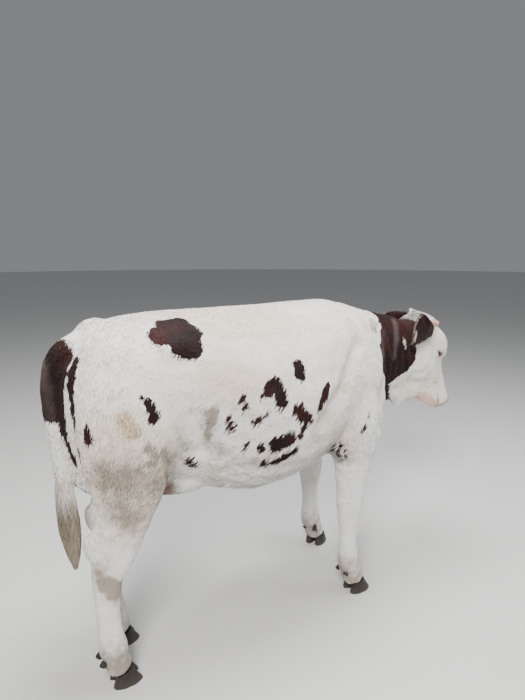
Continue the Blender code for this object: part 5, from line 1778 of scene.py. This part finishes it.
class HEIFER_OT_coat(bpy.types.Operator):
    """Grows the short coat over the skin"""

    bl_idname = "heifer.coat"
    bl_label = "Coat"

    def execute(self, context):
        grow_coat(context.scene.heifer, shared_tree(), material("Coat"))
        return {"FINISHED"}


class HEIFER_OT_long_hair(bpy.types.Operator):
    """Grows the tail's switch, the poll's tuft, the shag, the ears' hair and the lashes"""

    bl_idname = "heifer.long_hair"
    bl_label = "Long hair"

    def execute(self, context):
        tree, coat = shared_tree(), material("Coat")
        skin = bpy.data.objects["skin"].data
        build_switch_core(material("Skin"))
        grow_switch(tree, coat)
        grow_poll(skin, tree, coat)
        grow_fringes(skin, tree, coat)
        for label, side in SIDES.items():
            grow_ear_hair(side, label, tree, coat)
        grow_lashes(tree, coat)
        return {"FINISHED"}


FLOOR_RADIUS = 30.0
SKY_COLOUR, SKY_STRENGTH = (0.80, 0.83, 0.86, 1), 0.28
LAMPS = (
    ("Key", (-2.6, -2.8, 3.6), (-0.1, -0.1, 0.8), 1.6, 330, (1.0, 0.98, 0.95)),
    ("Top", (0.2, 0.2, 4.2), (0.0, 0.0, 0.8), 2.2, 210, (1.0, 1.0, 1.0)),
    ("Fill", (3.2, -2.4, 2.0), (0.4, 0.0, 0.8), 2.4, 60, (0.94, 0.97, 1.0)),
)  # name, place, target, size in metres, power in watts and colour


def lamp(light, name, place, target, size, power, tint):
    data = bpy.data.lights.new(name, "AREA")
    data.shape = "DISK"
    data.size = size
    data.energy = power * light
    data.color = tint
    made = link(bpy.data.objects.new(name, data))
    made.location = place
    made.rotation_mode = "QUATERNION"
    made.rotation_quaternion = (Vector(target) - Vector(place)).to_track_quat("-Z", "Y")
    return made


class HEIFER_OT_stage(bpy.types.Operator):
    """Sets up the camera, the lights and a plain floor"""

    bl_idname = "heifer.stage"
    bl_label = "Camera, lights and floor"

    def execute(self, context):
        settings = context.scene.heifer
        bm = bmesh.new()
        bmesh.ops.create_circle(bm, cap_ends=True, segments=96, radius=FLOOR_RADIUS)
        floor = object_from("Floor", bm)
        made, _, shader = principled("Floor", Roughness=0.85)
        shader.inputs["Base Color"].default_value = colour(settings.floor)
        floor.data.materials.append(made)
        world = bpy.data.worlds.new("Studio")
        world.use_nodes = True
        sky = world.node_tree.nodes["Background"]
        sky.inputs["Color"].default_value = SKY_COLOUR
        sky.inputs["Strength"].default_value = SKY_STRENGTH * settings.light
        context.scene.world = world
        key, top, fill = (lamp(settings.light, *row) for row in LAMPS)
        data = bpy.data.cameras.new("Camera")
        data.lens, data.sensor_width = CAMERA_LENS, CAMERA_SENSOR
        camera = link(bpy.data.objects.new("Camera", data))
        camera.location = CAMERA_PLACE
        camera.rotation_euler = (math.radians(90) - CAMERA_DOWN, 0, CAMERA_YAW - math.radians(90))
        context.scene.camera = camera
        return {"FINISHED"}


class HEIFER_PT_panel(bpy.types.Panel):
    """All settings, and a button for each step"""

    bl_label = "Spotted heifer"
    bl_idname = "HEIFER_PT_panel"
    bl_space_type = "VIEW_3D"
    bl_region_type = "UI"
    bl_category = "Heifer"

    def draw(self, context):
        for name in HeiferSettings.__annotations__:
            self.layout.prop(context.scene.heifer, name)
        for step in STEPS:
            self.layout.operator(step.bl_idname)


STEPS = (HEIFER_OT_skin, HEIFER_OT_head, HEIFER_OT_feet, HEIFER_OT_coat, HEIFER_OT_long_hair, HEIFER_OT_stage)


def register():
    for item in (HeiferSettings, *STEPS, HEIFER_PT_panel):
        bpy.utils.register_class(item)
    bpy.types.Scene.heifer = PointerProperty(type=HeiferSettings)


def unregister():
    del bpy.types.Scene.heifer
    for item in reversed((HeiferSettings, *STEPS, HEIFER_PT_panel)):
        bpy.utils.unregister_class(item)


def main():
    register()
    bpy.ops.heifer.skin()
    bpy.ops.heifer.head()
    bpy.ops.heifer.feet()
    bpy.ops.heifer.coat()
    bpy.ops.heifer.long_hair()
    bpy.ops.heifer.stage()


if __name__ == "__main__":
    main()
